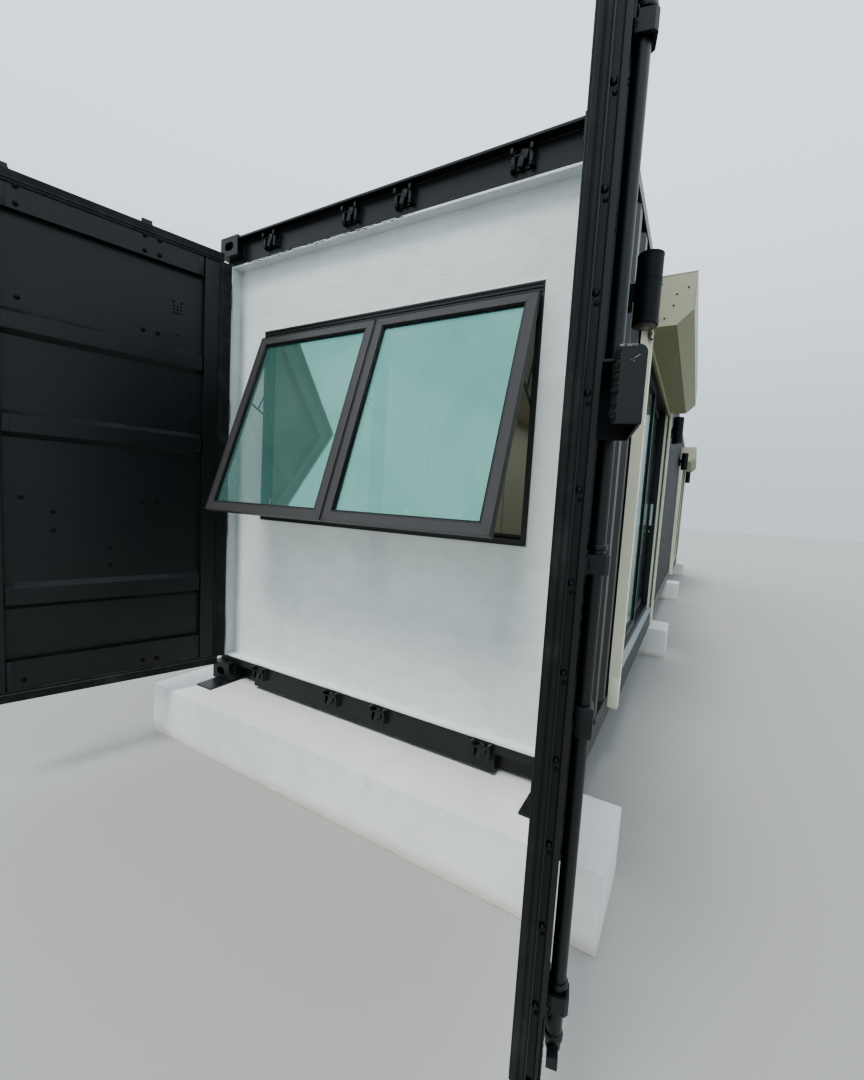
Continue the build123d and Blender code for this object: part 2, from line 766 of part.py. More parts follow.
def rollers(track_x, y_range, bottom):
    middle = (track_x[0] + track_x[1]) / 2
    pair = []
    for centre in (y_range[0] + 2 * roller_length, y_range[1] - 2 * roller_length):
        pair.append(
            block(
                (middle - roller_width / 2, middle + roller_width / 2),
                (centre - roller_length / 2, centre + roller_length / 2),
                (clear_z[0] + roller_clearance, bottom),
            )
        )
    return pair


fixed_frames = []
fixed_panes = []
for name, centre in (("near", near_doorway_centre), ("far", far_doorway_centre)):
    save(name + "_slider_frame", slider_frame(centre))
    fixed_y = (centre - clear_half, centre - clear_half + leaf_length)
    frame, pane = glazed_leaf(outer_track_x, fixed_y, clear_z)
    fixed_frames.append(frame)
    fixed_panes.append(pane)
    moving_y = (centre + clear_half - leaf_side_gap - leaf_length, centre + clear_half - leaf_side_gap)
    moving_z = (clear_z[0] + leaf_side_gap, clear_z[1] - leaf_side_gap)
    frame, pane = glazed_leaf(inner_track_x, moving_y, moving_z)
    for roller in rollers(inner_track_x, moving_y, moving_z[0]):
        frame += roller
    save(name + "_sliding_leaf", frame)
    save(name + "_sliding_glass", pane)
    pull_mid = moving_y[1] - leaf_frame_width / 2
    pull_face = (inner_track_x[0] + inner_track_x[1]) / 2 + leaf_frame_depth / 2
    pull = block(
        (pull_face, pull_face + pull_depth),
        (pull_mid - pull_width / 2, pull_mid + pull_width / 2),
        (pull_height - pull_length / 2, pull_height + pull_length / 2),
    )
    save(name + "_door_pull", pull)
save("fixed_leaves", *fixed_frames)
save("fixed_glass", *fixed_panes)


# Ledges under the sliding doors
def ledge(centre):
    outer_half = doorway_clear / 2 + guide_width
    step = along_y(
        [
            (frame_outer, ledge_bottom),
            (frame_outer + ledge_reach, ledge_bottom),
            (frame_outer + ledge_reach, slider_sill),
            (sheet_outer, slider_sill),
            (sheet_outer, bottom_rail_top),
            (frame_outer, bottom_rail_top),
        ],
        centre - outer_half,
        centre + outer_half,
    )
    curb = block(
        (slider_inner_face, sheet_outer),
        (centre - slider_half_opening, centre + slider_half_opening),
        (bottom_rail_top, slider_sill),
    )
    return step + curb


save("door_ledges", *[ledge(centre) for centre in doorway_centres])


# Roller shutter guides: channels that face each other across the doorway
def shutter_guide(y_edge, side):
    low, high = sorted((y_edge, y_edge + side * guide_width))
    channel_z = (slider_sill, shutter_box_bottom)
    channel = block((sheet_outer, half_width + guide_reach), (low, high), channel_z)
    slot_mid = sheet_outer + guide_slot_place
    slot_y = sorted((y_edge, y_edge + side * (guide_width - guide_wall)))
    return channel - block((slot_mid - guide_slot / 2, slot_mid + guide_slot / 2), slot_y, channel_z)


guides = []
for centre in doorway_centres:
    guides.append(shutter_guide(centre - doorway_clear / 2, -1))
    guides.append(shutter_guide(centre + doorway_clear / 2, 1))
save("shutter_guides", *guides)


# Shutter boxes with a chamfered lower edge
def shutter_box(centre):
    reach = half_width + shutter_box_reach
    outer_half = doorway_clear / 2 + guide_width + shutter_box_end_gap
    return along_y(
        [
            (sheet_outer, shutter_box_bottom),
            (reach - shutter_box_chamfer, shutter_box_bottom),
            (reach, shutter_box_bottom + shutter_box_chamfer),
            (reach, shutter_box_top),
            (sheet_outer, shutter_box_top),
        ],
        centre - outer_half,
        centre + outer_half,
    )


save("shutter_boxes", *[shutter_box(centre) for centre in doorway_centres])

# Up-and-down wall lights, one on each side of each doorway
light_x = half_width + light_gap + light_radius


def wall_light(y_mid):
    light_mid = light_bottom + light_height / 2
    body = Pos(light_x, y_mid, light_mid) * Cylinder(light_radius, light_height)
    body += block(
        (sheet_outer, light_x),
        (y_mid - light_neck / 2, y_mid + light_neck / 2),
        (light_mid - light_plate / 2, light_mid + light_plate / 2),
    )
    body += block(
        (sheet_outer, sheet_outer + light_gap / 2),
        (y_mid - light_plate / 2, y_mid + light_plate / 2),
        (light_mid - light_plate, light_mid + light_plate),
    )
    return body


save("wall_lights", *[wall_light(place) for place in light_places])
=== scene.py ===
from math import cos, radians, sin

import bmesh
import bpy
from mathutils import Matrix, Vector


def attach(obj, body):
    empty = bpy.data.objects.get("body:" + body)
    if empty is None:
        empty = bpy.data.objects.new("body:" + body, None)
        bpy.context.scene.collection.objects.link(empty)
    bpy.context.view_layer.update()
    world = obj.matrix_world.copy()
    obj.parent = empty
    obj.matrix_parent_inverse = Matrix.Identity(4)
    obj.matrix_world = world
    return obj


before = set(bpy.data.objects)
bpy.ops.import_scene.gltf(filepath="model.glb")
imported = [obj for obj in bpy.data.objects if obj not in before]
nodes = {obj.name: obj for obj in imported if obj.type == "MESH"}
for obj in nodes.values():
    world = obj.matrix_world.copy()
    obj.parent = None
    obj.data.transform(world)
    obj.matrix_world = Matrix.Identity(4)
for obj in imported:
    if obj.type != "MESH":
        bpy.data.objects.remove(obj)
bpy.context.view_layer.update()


# Concrete beams. Four cast blocks carry the container. They are painted white by brush over a rough cast
# face, and rain has splashed a little earth on their lowest edge.
class Field:
    """A value inside a finish. Arithmetic on it adds Math nodes."""

    def __init__(self, finish, socket):
        self.finish = finish
        self.socket = socket

    def maths(self, operation, *values):
        return self.finish.node("Math", {"operation": operation}, dict(enumerate(values)))

    def __add__(self, other):
        return self.maths("ADD", self, other)

    def __sub__(self, other):
        return self.maths("SUBTRACT", self, other)

    def __rsub__(self, other):
        return self.maths("SUBTRACT", other, self)

    def __mul__(self, other):
        return self.maths("MULTIPLY", self, other)

    __radd__ = __add__
    __rmul__ = __mul__

    def ramp(self, low, high):
        """0 at low, 1 at high, and a smooth change between them."""
        sockets = {"Value": self, "From Min": low, "From Max": high}
        return self.finish.node("MapRange", {"interpolation_type": "SMOOTHSTEP"}, sockets)


class Finish:
    """A procedural material: one Principled shader and the nodes that feed it."""

    def __init__(self, name, **constants):
        self.material = bpy.data.materials.new(name)
        self.material.use_nodes = True
        self.tree = self.material.node_tree
        self.shader = self.tree.nodes["Principled BSDF"]
        self.place = self.node("TexCoord", {}, {}, "Object")
        for socket, value in constants.items():
            self.shader.inputs[socket.replace("_", " ")].default_value = value

    def node(self, kind, settings, sockets, output=0):
        """Add a node, with its settings set first, and the values or links of its sockets."""
        made = self.tree.nodes.new("ShaderNode" + kind)
        for name, value in settings.items():
            setattr(made, name, value)
        for name, value in sockets.items():
            if isinstance(value, Field):
                self.tree.links.new(value.socket, made.inputs[name])
            else:
                made.inputs[name].default_value = value
        return Field(self, made.outputs[output])

    def axis(self, name):
        """One coordinate of the place on the surface, in metres."""
        return self.node("SeparateXYZ", {}, {"Vector": self.place}, name)

    def facing(self, name):
        """How far the surface faces along one axis, from -1 to 1."""
        normal = self.node("NewGeometry", {}, {}, "Normal")
        return self.node("SeparateXYZ", {}, {"Vector": normal}, name)

    def noise(self, scale, detail=3.0, roughness=0.5, stretch=(1.0, 1.0, 1.0), warp=0.0):
        """Cloudy noise from 0 to 1, with scale in waves per metre."""
        placed = self.node("Mapping", {}, {"Vector": self.place, "Scale": stretch})
        shape = {"Scale": scale, "Detail": detail, "Roughness": roughness, "Distortion": warp}
        return self.node("TexNoise", {}, {"Vector": placed, **shape})

    def cells(self, scale):
        """Distance to scattered points, with scale in points per metre."""
        return self.node("TexVoronoi", {}, {"Vector": self.place, "Scale": scale}, "Distance")

    def mix(self, factor, low, high):
        """A colour between two colours."""
        sockets = {0: factor, 6: low, 7: high}
        return self.node("Mix", {"data_type": "RGBA", "clamp_factor": True}, sockets, 2)

    def feed(self, socket, field):
        """Link a field to one of the shader's sockets."""
        self.tree.links.new(field.socket, self.shader.inputs[socket])

    def cover(self, colour, roughness):
        self.feed("Base Color", colour)
        self.feed("Roughness", roughness)

    def rounded(self, radius):
        """Normals that make sharp edges look rounded."""
        return self.node("Bevel", {"samples": 4}, {"Radius": radius})

    def bump(self, height, depth, strength=1.0, under=None):
        """Raise the surface by a height field, with depth in metres."""
        sockets = {"Height": height, "Distance": depth, "Strength": strength}
        if under:
            sockets["Normal"] = under
        raised = self.node("Bump", {}, sockets)
        self.feed("Normal", raised)
        return raised


def dress(material, *names):
    """Give CAD nodes a finish."""
    for name in names:
        mesh = nodes[name].data
        mesh.materials.clear()
        mesh.materials.append(material)


def painted_concrete():
    dull_white = (0.68, 0.69, 0.67, 1)
    clean_white = (0.79, 0.80, 0.78, 1)
    bare_cement = (0.46, 0.46, 0.43, 1)
    red_earth = (0.36, 0.22, 0.13, 1)
    pit_grey = (0.33, 0.31, 0.28, 1)
    finish = Finish("painted_concrete", Specular_IOR_Level=0.35)
    broad = finish.noise(1.6, 4.0, 0.6)
    brushed = finish.noise(11.0, 5.0, 0.6, (1.0, 1.4, 1.6), 0.4)
    grit = finish.noise(240.0, 3.0, 0.65)
    pits = finish.cells(46.0).ramp(0.10, 0.0)
    worn = finish.noise(5.0, 6.0, 0.65).ramp(0.60, 0.76)
    splash = (0.10 - finish.axis("Z") + broad * 0.08).ramp(0.06, 0.16)
    white = finish.mix(broad.ramp(0.35, 0.7), dull_white, clean_white)
    greyed = finish.mix(worn * 0.35, white, bare_cement)
    earthy = finish.mix(splash * (0.25 + brushed * 0.5), greyed, red_earth)
    finish.cover(finish.mix(pits * 0.5, earthy, pit_grey), 0.72 + brushed * 0.2)
    coarse = finish.bump(brushed + broad * 0.8, 0.005, 0.7, finish.rounded(0.008))
    finish.bump(grit - pits * 2.0, 0.0013, 0.8, coarse)
    return finish.material


dress(painted_concrete(), "foundation_beams")


# The container's steel. Posts, rails, castings and the pressed sheets are all sprayed one satin black, with
# the slight orange peel of site painting and pale dust on what faces up.
def container_paint(name, dust=1.0, dent_depth=0.008):
    full_black = (0.0040, 0.0048, 0.0056, 1)
    faded_black = (0.0085, 0.0098, 0.0110, 1)
    settled_dust = (0.11, 0.105, 0.10, 1)
    pale_speck = (0.42, 0.40, 0.37, 1)
    finish = Finish(name, Specular_IOR_Level=0.52)
    broad = finish.noise(0.9, 4.0, 0.6)
    peel = finish.noise(330.0, 2.0, 0.5)
    dents = finish.noise(2.2, 2.0, 0.4)
    specks = finish.cells(34.0).ramp(0.055, 0.03) * finish.noise(6.0).ramp(0.5, 0.6)
    up = finish.facing("Z").ramp(0.3, 0.9)
    film = finish.noise(7.0, 6.0, 0.7).ramp(0.35, 0.75)
    dusty = (up * 0.45 + 0.05) * film * dust
    dulled = finish.mix(dusty, finish.mix(broad, full_black, faded_black), settled_dust)
    finish.cover(finish.mix(specks * 0.4 * dust, dulled, pale_speck), 0.30 + broad * 0.10 + dusty * 0.5)
    shallow = finish.bump(dents, dent_depth, 0.5, finish.rounded(0.003))
    finish.bump(peel, 0.00022, 0.6, shallow)
    return finish.material


steel_black = container_paint("satin_black_steel")
dress(steel_black, "corner_castings", "corner_posts", "door_header", "door_sill", "cam_keepers")
dress(steel_black, "door_hinge_lugs", "back_header", "back_sill", "top_side_rails", "bottom_side_rails")
dress(steel_black, "floor_cross_members", "left_wall", "right_wall_near", "right_wall_middle")
dress(steel_black, "right_wall_far", "right_wall_lintels", "back_wall", "roof", "bearing_plates")


# Header and sill fittings. Each keeper has a hook plate riveted between its jaws, which the cam of a lock rod
# catches on. They are cut from plate, welded to the header and the sill, and sprayed with them.
def at(*place):
    return Matrix.Translation(place)


def swing(degrees, axis):
    return Matrix.Rotation(radians(degrees), 4, axis)


def bar(mesh, low, high, rounding, placing=Matrix()):
    """A bar between two corners, with its edges rounded."""
    low, high = Vector(low), Vector(high)
    stretch = Matrix.Diagonal((*(high - low), 1.0))
    middle = Matrix.Translation((low + high) / 2)
    shape = bmesh.new()
    bmesh.ops.create_cube(shape, size=1.0, matrix=middle @ stretch)
    soften(mesh, shape, shape.edges, rounding, placing)


def round_bar(mesh, start, end, radius, rounding, placing=Matrix(), sides=20, end_radius=None):
    """A round or many-sided bar between two points, with its rims rounded."""
    start, end = Vector(start), Vector(end)
    turn = (end - start).to_track_quat("Z", "Y").to_matrix().to_4x4()
    shape = bmesh.new()
    bmesh.ops.create_cone(
        shape,
        cap_ends=True,
        segments=sides,
        radius1=radius,
        radius2=radius if end_radius is None else end_radius,
        depth=(end - start).length,
        matrix=Matrix.Translation((start + end) / 2) @ turn,
    )
    rims = [edge for edge in shape.edges if any(len(face.verts) == sides for face in edge.link_faces)]
    soften(mesh, shape, rims, rounding, placing)


def soften(mesh, shape, edges, rounding, placing):
    """Round a shape's edges, and add it to a piece's mesh in its place."""
    bmesh.ops.bevel(
        shape, geom=list(edges), offset=rounding, segments=2, profile=0.5, affect="EDGES", material=-1
    )
    add_shape(mesh, shape, placing)


def add_shape(mesh, shape, placing):
    """Add a shape to a piece's mesh in its place."""
    bmesh.ops.transform(shape, matrix=placing, verts=shape.verts)
    data = bpy.data.meshes.new("shape")
    shape.to_mesh(data)
    shape.free()
    mesh.from_mesh(data)
    bpy.data.meshes.remove(data)


def rivet(mesh, seat, out, radius, placing=Matrix()):
    """A domed rivet head that stands out from its seat."""
    seat, out = Vector(seat), Vector(out)
    round_bar(mesh, seat - out * 0.001, seat + out * radius * 0.6, radius, radius * 0.45, placing, 12)


def weld(mesh, start, end, width, placing=Matrix()):
    """A run of weld, laid as overlapping drops."""
    start, end = Vector(start), Vector(end)
    drops = round((end - start).length / (width * 0.36))
    wander = Vector((0.09, 0.05, 0.09)) * width
    run = bmesh.new()
    for index in range(drops + 1):
        swell = 0.82 + 0.12 * sin(index * 2.4) + 0.08 * sin(index * 0.7)
        middle = start.lerp(end, index / drops) + wander * sin(index * 1.3)
        drop = at(*middle) @ Matrix.Scale(swell * width / 2, 4)
        bmesh.ops.create_icosphere(run, subdivisions=2, radius=1.0, matrix=drop)
    add_shape(mesh, run, placing)


def stand(name, data):
    """Stand an object in the scene."""
    thing = bpy.data.objects.new(name, data)
    bpy.context.scene.collection.objects.link(thing)
    return thing


def make(name, mesh, material, body="cabin"):
    """Finish a mesh as a piece of the object that rides on a body."""
    bmesh.ops.recalc_face_normals(mesh, faces=mesh.faces)
    data = bpy.data.meshes.new(name)
    mesh.to_mesh(data)
    mesh.free()
    data.polygons.foreach_set("use_smooth", [True] * len(data.polygons))
    data.set_sharp_from_angle(angle=radians(40))
    data.materials.append(material)
    piece = stand(name, data)
    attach(piece, body)


ground_gap = 0.330
keeper_columns = (-0.172, -0.792, 0.172, 0.792)
keeper_heights = (0.112, 2.812)
keeper_half_width = 0.057
keeper_front = 0.020
keeper_back = 0.042
jaw_inset = 0.012
hook_lean = 14
hook_plate = ((-0.016, -0.008, -0.034), (0.012, 0.004, 0.038))
hook_nose = ((0.010, -0.016, -0.006), (0.026, 0.008, 0.030))
hook_pin = ((-0.036, 0.026, 0.016), (0.036, 0.026, 0.016))
hooks = bmesh.new()
for keeper_z in keeper_heights:
    for keeper_x in keeper_columns:
        spot = at(keeper_x, 0, keeper_z + ground_gap)
        lean = spot @ at(0, 0.030, 0) @ swing(hook_lean, "Y")
        bar(hooks, *hook_plate, 0.003, lean)
        bar(hooks, *hook_nose, 0.003, lean)
        round_bar(hooks, *hook_pin, 0.006, 0.001, spot, 14)
        for side in (-1, 1):
            edge = side * keeper_half_width
            jaw = side * (keeper_half_width - jaw_inset)
            for rise in (-0.024, 0.024):
                rivet(hooks, (jaw, keeper_front, rise), (0, -1, 0), 0.006, spot)
            bar(hooks, (jaw - 0.007, 0.008, 0.020), (jaw + 0.007, keeper_back, 0.044), 0.002, spot)
            weld(hooks, (edge, 0.047, -0.034), (edge, 0.047, 0.034), 0.008, spot)
make("keeper_hooks", hooks, steel_black)

# Welds of the end frame. The header and the sill meet the castings, and the posts stand on them, in plain
# fillet runs that were painted over.
frame_weld = 0.009
casting_weld = 0.010
casting_inner = 1.057
casting_faces = ((0.346, 0.444), (3.112, 3.204))
header_face = 0.050
header_top = 3.200
post_face = 0.060
post_back = 0.174
post_ends = (0.448, 3.108)
frame_welds = bmesh.new()
for side in (-1, 1):
    edge_x = side * casting_inner
    corner_x = side * 1.216
    for low_z, high_z in casting_faces:
        weld(frame_welds, (edge_x, header_face, low_z), (edge_x, header_face, high_z), casting_weld)
    for end_z in post_ends:
        weld(frame_welds, (side * 1.172, post_face, end_z), (side * 1.214, post_face, end_z), frame_weld)
        weld(frame_welds, (corner_x, post_face, end_z), (corner_x, post_back, end_z), frame_weld)
top_run = [(side * casting_inner, header_face, header_top) for side in (-1, 1)]
weld(frame_welds, *top_run, frame_weld)
make("end_frame_welds", frame_welds, steel_black)


# Cargo doors. Each leaf is a welded frame round one pressed sheet, with two lock rods outside, sprayed with
# the rest of the container. The black rubber seal keeps its own dull finish.
def door_rubber():
    clean_rubber = (0.010, 0.011, 0.011, 1)
    chalk_and_highlight_grey = (0.110, 0.115, 0.115, 1)
    finish = Finish("door_rubber", Specular_IOR_Level=0.3)
    ribs = finish.noise(90.0, 2.0, 0.5, (1.0, 1.0, 0.05))
    chalk = finish.noise(9.0, 5.0, 0.6).ramp(0.45, 0.75)
    # Rubber that faces up is painted paler: a painted highlight along its lit top edges, mixed with real
    # chalk.
    dusty = chalk * 0.25 + finish.facing("Z").ramp(0.2, 0.8) * 0.5
    finish.cover(finish.mix(dusty, clean_rubber, chalk_and_highlight_grey), 0.55 + chalk * 0.25)
    finish.bump(ribs, 0.0006)
    return finish.material


door_black = container_paint("satin_black_door", 0.3, 0.003)
rubber = door_rubber()
leaf_parts = ("_door_frame", "_door_panel", "_door_hinges", "_lock_rods", "_rod_guides")
for side in ("left", "right"):
    dress(door_black, *[side + part for part in leaf_parts])
    dress(rubber, side + "_door_gasket")
dress(door_black, "lock_box")

# Places on a leaf are measured from its hinge line: along it to the free edge, from its outer face inwards,
# and up from the container's underside. The right leaf is the mirror image of the left one.
hinge_x = 1.2
hinge_y = 0.020
mirrored = Matrix.Scale(-1, 4, (1, 0, 0))
leaf_places = {
    "left": at(-hinge_x, hinge_y, ground_gap) @ swing(-107.0, "Z"),
    "right": at(hinge_x, hinge_y, ground_gap) @ swing(102.7, "Z") @ mirrored,
}
outwards = (0, -1, 0)
inwards = (0, 1, 0)
rail_inner_face = 0.082
sheet_inner_face = 0.046


# Rib ends. Each pressed rib and each rail runs on almost to the stiles, and leaves only a narrow groove for
# the paint to run out of.
def rib_end(mesh, low_z, high_z, start_s, end_s, placing):
    """A length of rib: its profile drawn across the leaf, and extruded along it."""
    peaks = ((rib_peak, low_z + rib_slope), (rib_peak, high_z - rib_slope))
    line = ((rib_foot, low_z), *peaks, (rib_foot, high_z))
    shape = bmesh.new()
    profile = shape.faces.new([shape.verts.new((start_s, y, z)) for y, z in line])
    grown = bmesh.ops.extrude_face_region(shape, geom=[profile])["geom"]
    tip = [part for part in grown if isinstance(part, bmesh.types.BMVert)]
    bmesh.ops.translate(shape, verts=tip, vec=(end_s - start_s, 0, 0))
    add_shape(mesh, shape, placing)


rib_heights = ((0.613, 0.753), (1.503, 1.640), (2.008, 2.140))
rib_foot = 0.0445
rib_peak = 0.078
rib_slope = 0.026
rib_gaps = ((0.180, 0.151), (1.050, 1.079))
rail_heights = ((0.160, 0.340), (2.598, 2.738))
rail_outer_face = 0.060
for side, leaf in leaf_places.items():
    ends = bmesh.new()
    for start_s, end_s in rib_gaps:
        for low_z, high_z in rib_heights:
            rib_end(ends, low_z, high_z, start_s, end_s, leaf)
        gap = sorted((start_s, end_s))
        for low_z, high_z in rail_heights:
            bar(ends, (gap[0], rail_outer_face, low_z), (gap[1], rail_inner_face, high_z), 0.0004, leaf)
    make(side + "_rib_ends", ends, door_black, side + "_cargo_door")


# Door bolts. Each rod guide and handle catch is bolted through the leaf, so a blackened nut shows on the
# inner face, and small rivets hold the plates and the vent that the outer face carries.
def deep_black(name, gloss, roughness):
    black = (0.0015, 0.0015, 0.0015, 1)
    worn_black = (0.004, 0.004, 0.004, 1)
    finish = Finish(name, Specular_IOR_Level=gloss)
    grime = finish.noise(300.0, 2.0, 0.5)
    finish.cover(finish.mix(grime, black, worn_black), roughness + grime * 0.12)
    return finish.material


def bolt(mesh, seat, out, radius, placing):
    """A washer, a hexagon nut and the bolt's end."""
    seat, out = Vector(seat), Vector(out)
    sunk = out * 0.001
    washer_top = seat + out * 0.002
    nut_top = washer_top + out * radius * 0.8
    round_bar(mesh, seat - sunk, washer_top, radius * 1.35, 0.0005, placing, 16)
    round_bar(mesh, washer_top - sunk, nut_top, radius, 0.001, placing, 6)
    round_bar(mesh, nut_top - sunk, nut_top + out * 0.004, radius * 0.55, 0.001, placing, 10)


bolt_black = deep_black("blackened_bolts", 0.28, 0.36)
guide_rows = (
    (0.232, rail_inner_face),
    (1.200, sheet_inner_face),
    (2.198, sheet_inner_face),
    (2.626, rail_inner_face),
    (2.707, rail_inner_face),
)
guide_foot_face = 0.024
nut_columns = (0.393, 0.467, 1.013)
foot_rivet_columns = (0.391, 0.469, 1.011, 1.089)
catch_bolts = ((0.884, 1.126), (0.884, 1.026), (0.631, 0.918), (0.631, 0.824))
plate_rivets = ((0.393, 1.87), (0.298, 1.945), (0.206, 1.866), (0.394, 1.71), (0.206, 1.706), (0.286, 2.215))
sheet_outer_face = 0.044
for side, leaf in leaf_places.items():
    bolts = bmesh.new()
    for row_z, nut_face in guide_rows:
        for column in nut_columns:
            bolt(bolts, (column, nut_face, row_z), inwards, 0.0098, leaf)
        for column in foot_rivet_columns:
            rivet(bolts, (column, guide_foot_face, row_z), outwards, 0.0085, leaf)
    for column, row_z in catch_bolts:
        bolt(bolts, (column, sheet_inner_face, row_z), inwards, 0.0085, leaf)
    for column, row_z in plate_rivets:
        rivet(bolts, (column, sheet_inner_face, row_z), inwards, 0.0068, leaf)
        rivet(bolts, (column, sheet_outer_face, row_z), outwards, 0.0055, leaf)
    make(side + "_door_bolts", bolts, bolt_black, side + "_cargo_door")

# Door vents. Nine holes are drilled through the top of each leaf's sheet to let air in, under the two rivets
# that hold the hood outside. The holes are drawn as thin near-black discs on the inner face, painted shade
# for the dark inside them, and the two rivets take the same near-black.
painted_gap_shade = deep_black("near_black_gap_shade", 0.1, 0.8)
hole_radius = 0.0052
hole_pitch = 0.019
vent_s = 0.288
vent_z = 2.362
for side, leaf in leaf_places.items():
    vent = bmesh.new()
    for across in (-1, 0, 1):
        for up in (-1, 0, 1):
            hole_s = vent_s + across * hole_pitch
            hole_z = vent_z + up * hole_pitch
            hole = ((hole_s, sheet_inner_face, hole_z), (hole_s, sheet_inner_face + 0.0012, hole_z))
            round_bar(vent, *hole, hole_radius, 0.0004, leaf, 12)
    for across in (-1.2, 1.2):
        seat = (vent_s + across * hole_pitch, sheet_inner_face, vent_z + 2.3 * hole_pitch)
        rivet(vent, seat, inwards, 0.006, leaf)
    make(side + "_door_vent", vent, painted_gap_shade, side + "_cargo_door")

# Seal edging. The rubber has a round bulb along its free lip and a flat rib beside it. A steel strip clamps
# the rubber's foot, and rivets in the leaf's edge channel hold the strip.
seal_lip = 1.231
seal_bottom = 0.127
seal_top = 2.770
bulb_s = seal_lip - 0.003
bulb_y = 0.0805
inner_bead_y = 0.088
inner_bead_columns = (0.040, 1.186)
strip_start = 1.190
strip_rivet_s = 1.1835
first_rivet = 0.164
rivet_pitch = 0.167
rivet_count = 16
channel_welds = ((0.175, 0.330), (2.604, 2.730))
for side, leaf in leaf_places.items():
    ribs = bmesh.new()
    round_bar(ribs, (bulb_s, bulb_y, seal_bottom), (bulb_s, bulb_y, seal_top), 0.0070, 0.001, leaf)
    bar(ribs, (seal_lip - 0.002, 0.0640, seal_bottom), (seal_lip + 0.002, 0.0715, seal_top), 0.001, leaf)
    for lip_z in (seal_top + 0.001, seal_bottom - 0.001):
        round_bar(ribs, (0.037, bulb_y, lip_z), (seal_lip, bulb_y, lip_z), 0.0045, 0.001, leaf, 14)
    for bead_s in inner_bead_columns:
        round_bar(ribs, (bead_s, inner_bead_y, 0.176), (bead_s, inner_bead_y, 2.722), 0.0040, 0.001, leaf, 14)
    for bead_z in (0.166, 2.732):
        ends = [(bead_s, inner_bead_y, bead_z) for bead_s in inner_bead_columns]
        round_bar(ribs, *ends, 0.0040, 0.001, leaf, 14)
    make(side + "_door_seal_bulb", ribs, rubber, side + "_cargo_door")

    strips = bmesh.new()
    bar(strips, (strip_start, 0.0590, 0.168), (seal_lip + 0.0015, 0.0618, 2.730), 0.0006, leaf)
    for index in range(rivet_count):
        rivet_z = first_rivet + index * rivet_pitch
        rivet(strips, (strip_rivet_s, 0.053, rivet_z + 0.010), (1, 0, 0), 0.0062, leaf)
        rivet(strips, (strip_rivet_s, 0.050, rivet_z - 0.008), (1, 0, 0), 0.0040, leaf)
    for low_z, high_z in channel_welds:
        weld(strips, (1.196, 0.0335, low_z), (1.196, 0.0335, high_z), 0.006, leaf)
    make(side + "_seal_strip", strips, door_black, side + "_cargo_door")

# Lock rod fittings. A bush is welded round each rod over its upper guide. Each handle turns on a hub, ends in
# an eye for a seal, and drops into a catch that is bolted to the leaf.
rod_y = 0.008
rod_rings = (
    (2.222, 2.290, 0.0225, 28),
    (2.220, 2.230, 0.0250, 28),
    (0.262, 0.274, 0.0215, 24),
    (1.228, 1.240, 0.0215, 24),
    (2.594, 2.606, 0.0215, 24),
)
cam_heights = (0.140, 2.784)
cam_half = 0.009
handles = ((0.430, 1.076, 0.900, 1), (1.050, 0.871, 0.613, -1))
grip_length = 0.120
catch_offset = 0.016
for side, leaf in leaf_places.items():
    fittings = bmesh.new()
    for rod_s, handle_z, end_s, way in handles:
        rod = leaf @ at(rod_s, 0, 0)
        for low_z, high_z, radius, sides in rod_rings:
            round_bar(fittings, (0, rod_y, low_z), (0, rod_y, high_z), radius, 0.002, rod, sides)
        for cam_z in cam_heights:
            cam = [(0, rod_y, cam_z + rise) for rise in (-cam_half, cam_half)]
            round_bar(fittings, *cam, 0.0205, 0.003, rod, 24)
        hub = leaf @ at(rod_s, 0, handle_z)
        bar(fittings, (-0.026, -0.014, -0.034), (0.026, 0.024, 0.034), 0.005, hub)
        round_bar(fittings, (0, -0.020, 0), (0, 0.026, 0), 0.009, 0.002, hub, 16)
        eye = leaf @ at(end_s, 0, handle_z)
        grip_low, grip_high = sorted((-way * grip_length, way * 0.004))
        bar(fittings, (grip_low, 0.0005, -0.022), (grip_high, 0.0155, 0.022), 0.006, eye)
        round_bar(fittings, (0, -0.012, 0), (0, 0.026, 0), 0.0120, 0.003, eye, 18)
        catch = eye @ at(-way * catch_offset, 0, 0)
        bar(fittings, (-0.020, 0.026, -0.070), (0.020, 0.0325, 0.070), 0.003, catch)
        for rise in (-0.050, 0.050):
            bar(fittings, (-0.012, -0.014, rise - 0.009), (0.012, 0.030, rise + 0.009), 0.003, catch)
        bar(fittings, (-0.012, -0.017, -0.059), (0.012, -0.010, -0.012), 0.003, catch)
    make(side + "_lock_rod_fittings", fittings, door_black, side + "_cargo_door")


# Lock box welds. The box's end plate is welded on by a thick hand-laid run of two beads. Its top rim is
# chipped back to grey primer, and the grey strip along it is also a painted highlight of the top edge.
# Something has scratched the plate.
def primer_flakes_and_highlight():
    old_black = (0.020, 0.021, 0.023, 1)
    primer_and_highlight_grey = (0.21, 0.21, 0.205, 1)
    finish = Finish("primer_flakes_and_highlight", Specular_IOR_Level=0.4)
    # Grey flakes stand for chipped primer, and on the top rim also for a painted highlight of the edge.
    flakes = finish.noise(160.0, 4.0, 0.7).ramp(0.40, 0.60)
    finish.cover(finish.mix(flakes, old_black, primer_and_highlight_grey), 0.45 + flakes * 0.3)
    finish.bump(flakes, 0.0006)
    return finish.material


box_end = 1.265
box_face = -0.029
box_floor = 1.444
box_lid = 1.563
box_slot = 0.014
leaf = leaf_places["right"]
bead_runs = ((0.003, -0.002, 0.004, 0.011), (0.010, 0.001, 0.010, 0.010))
beads = bmesh.new()
for back, rise, inset, width in bead_runs:
    bead = (box_end - back, box_slot + rise)
    weld(beads, (*bead, box_floor + inset), (*bead, box_lid - inset), width, leaf)
make("lock_box_welds", beads, bolt_black, "right_cargo_door")
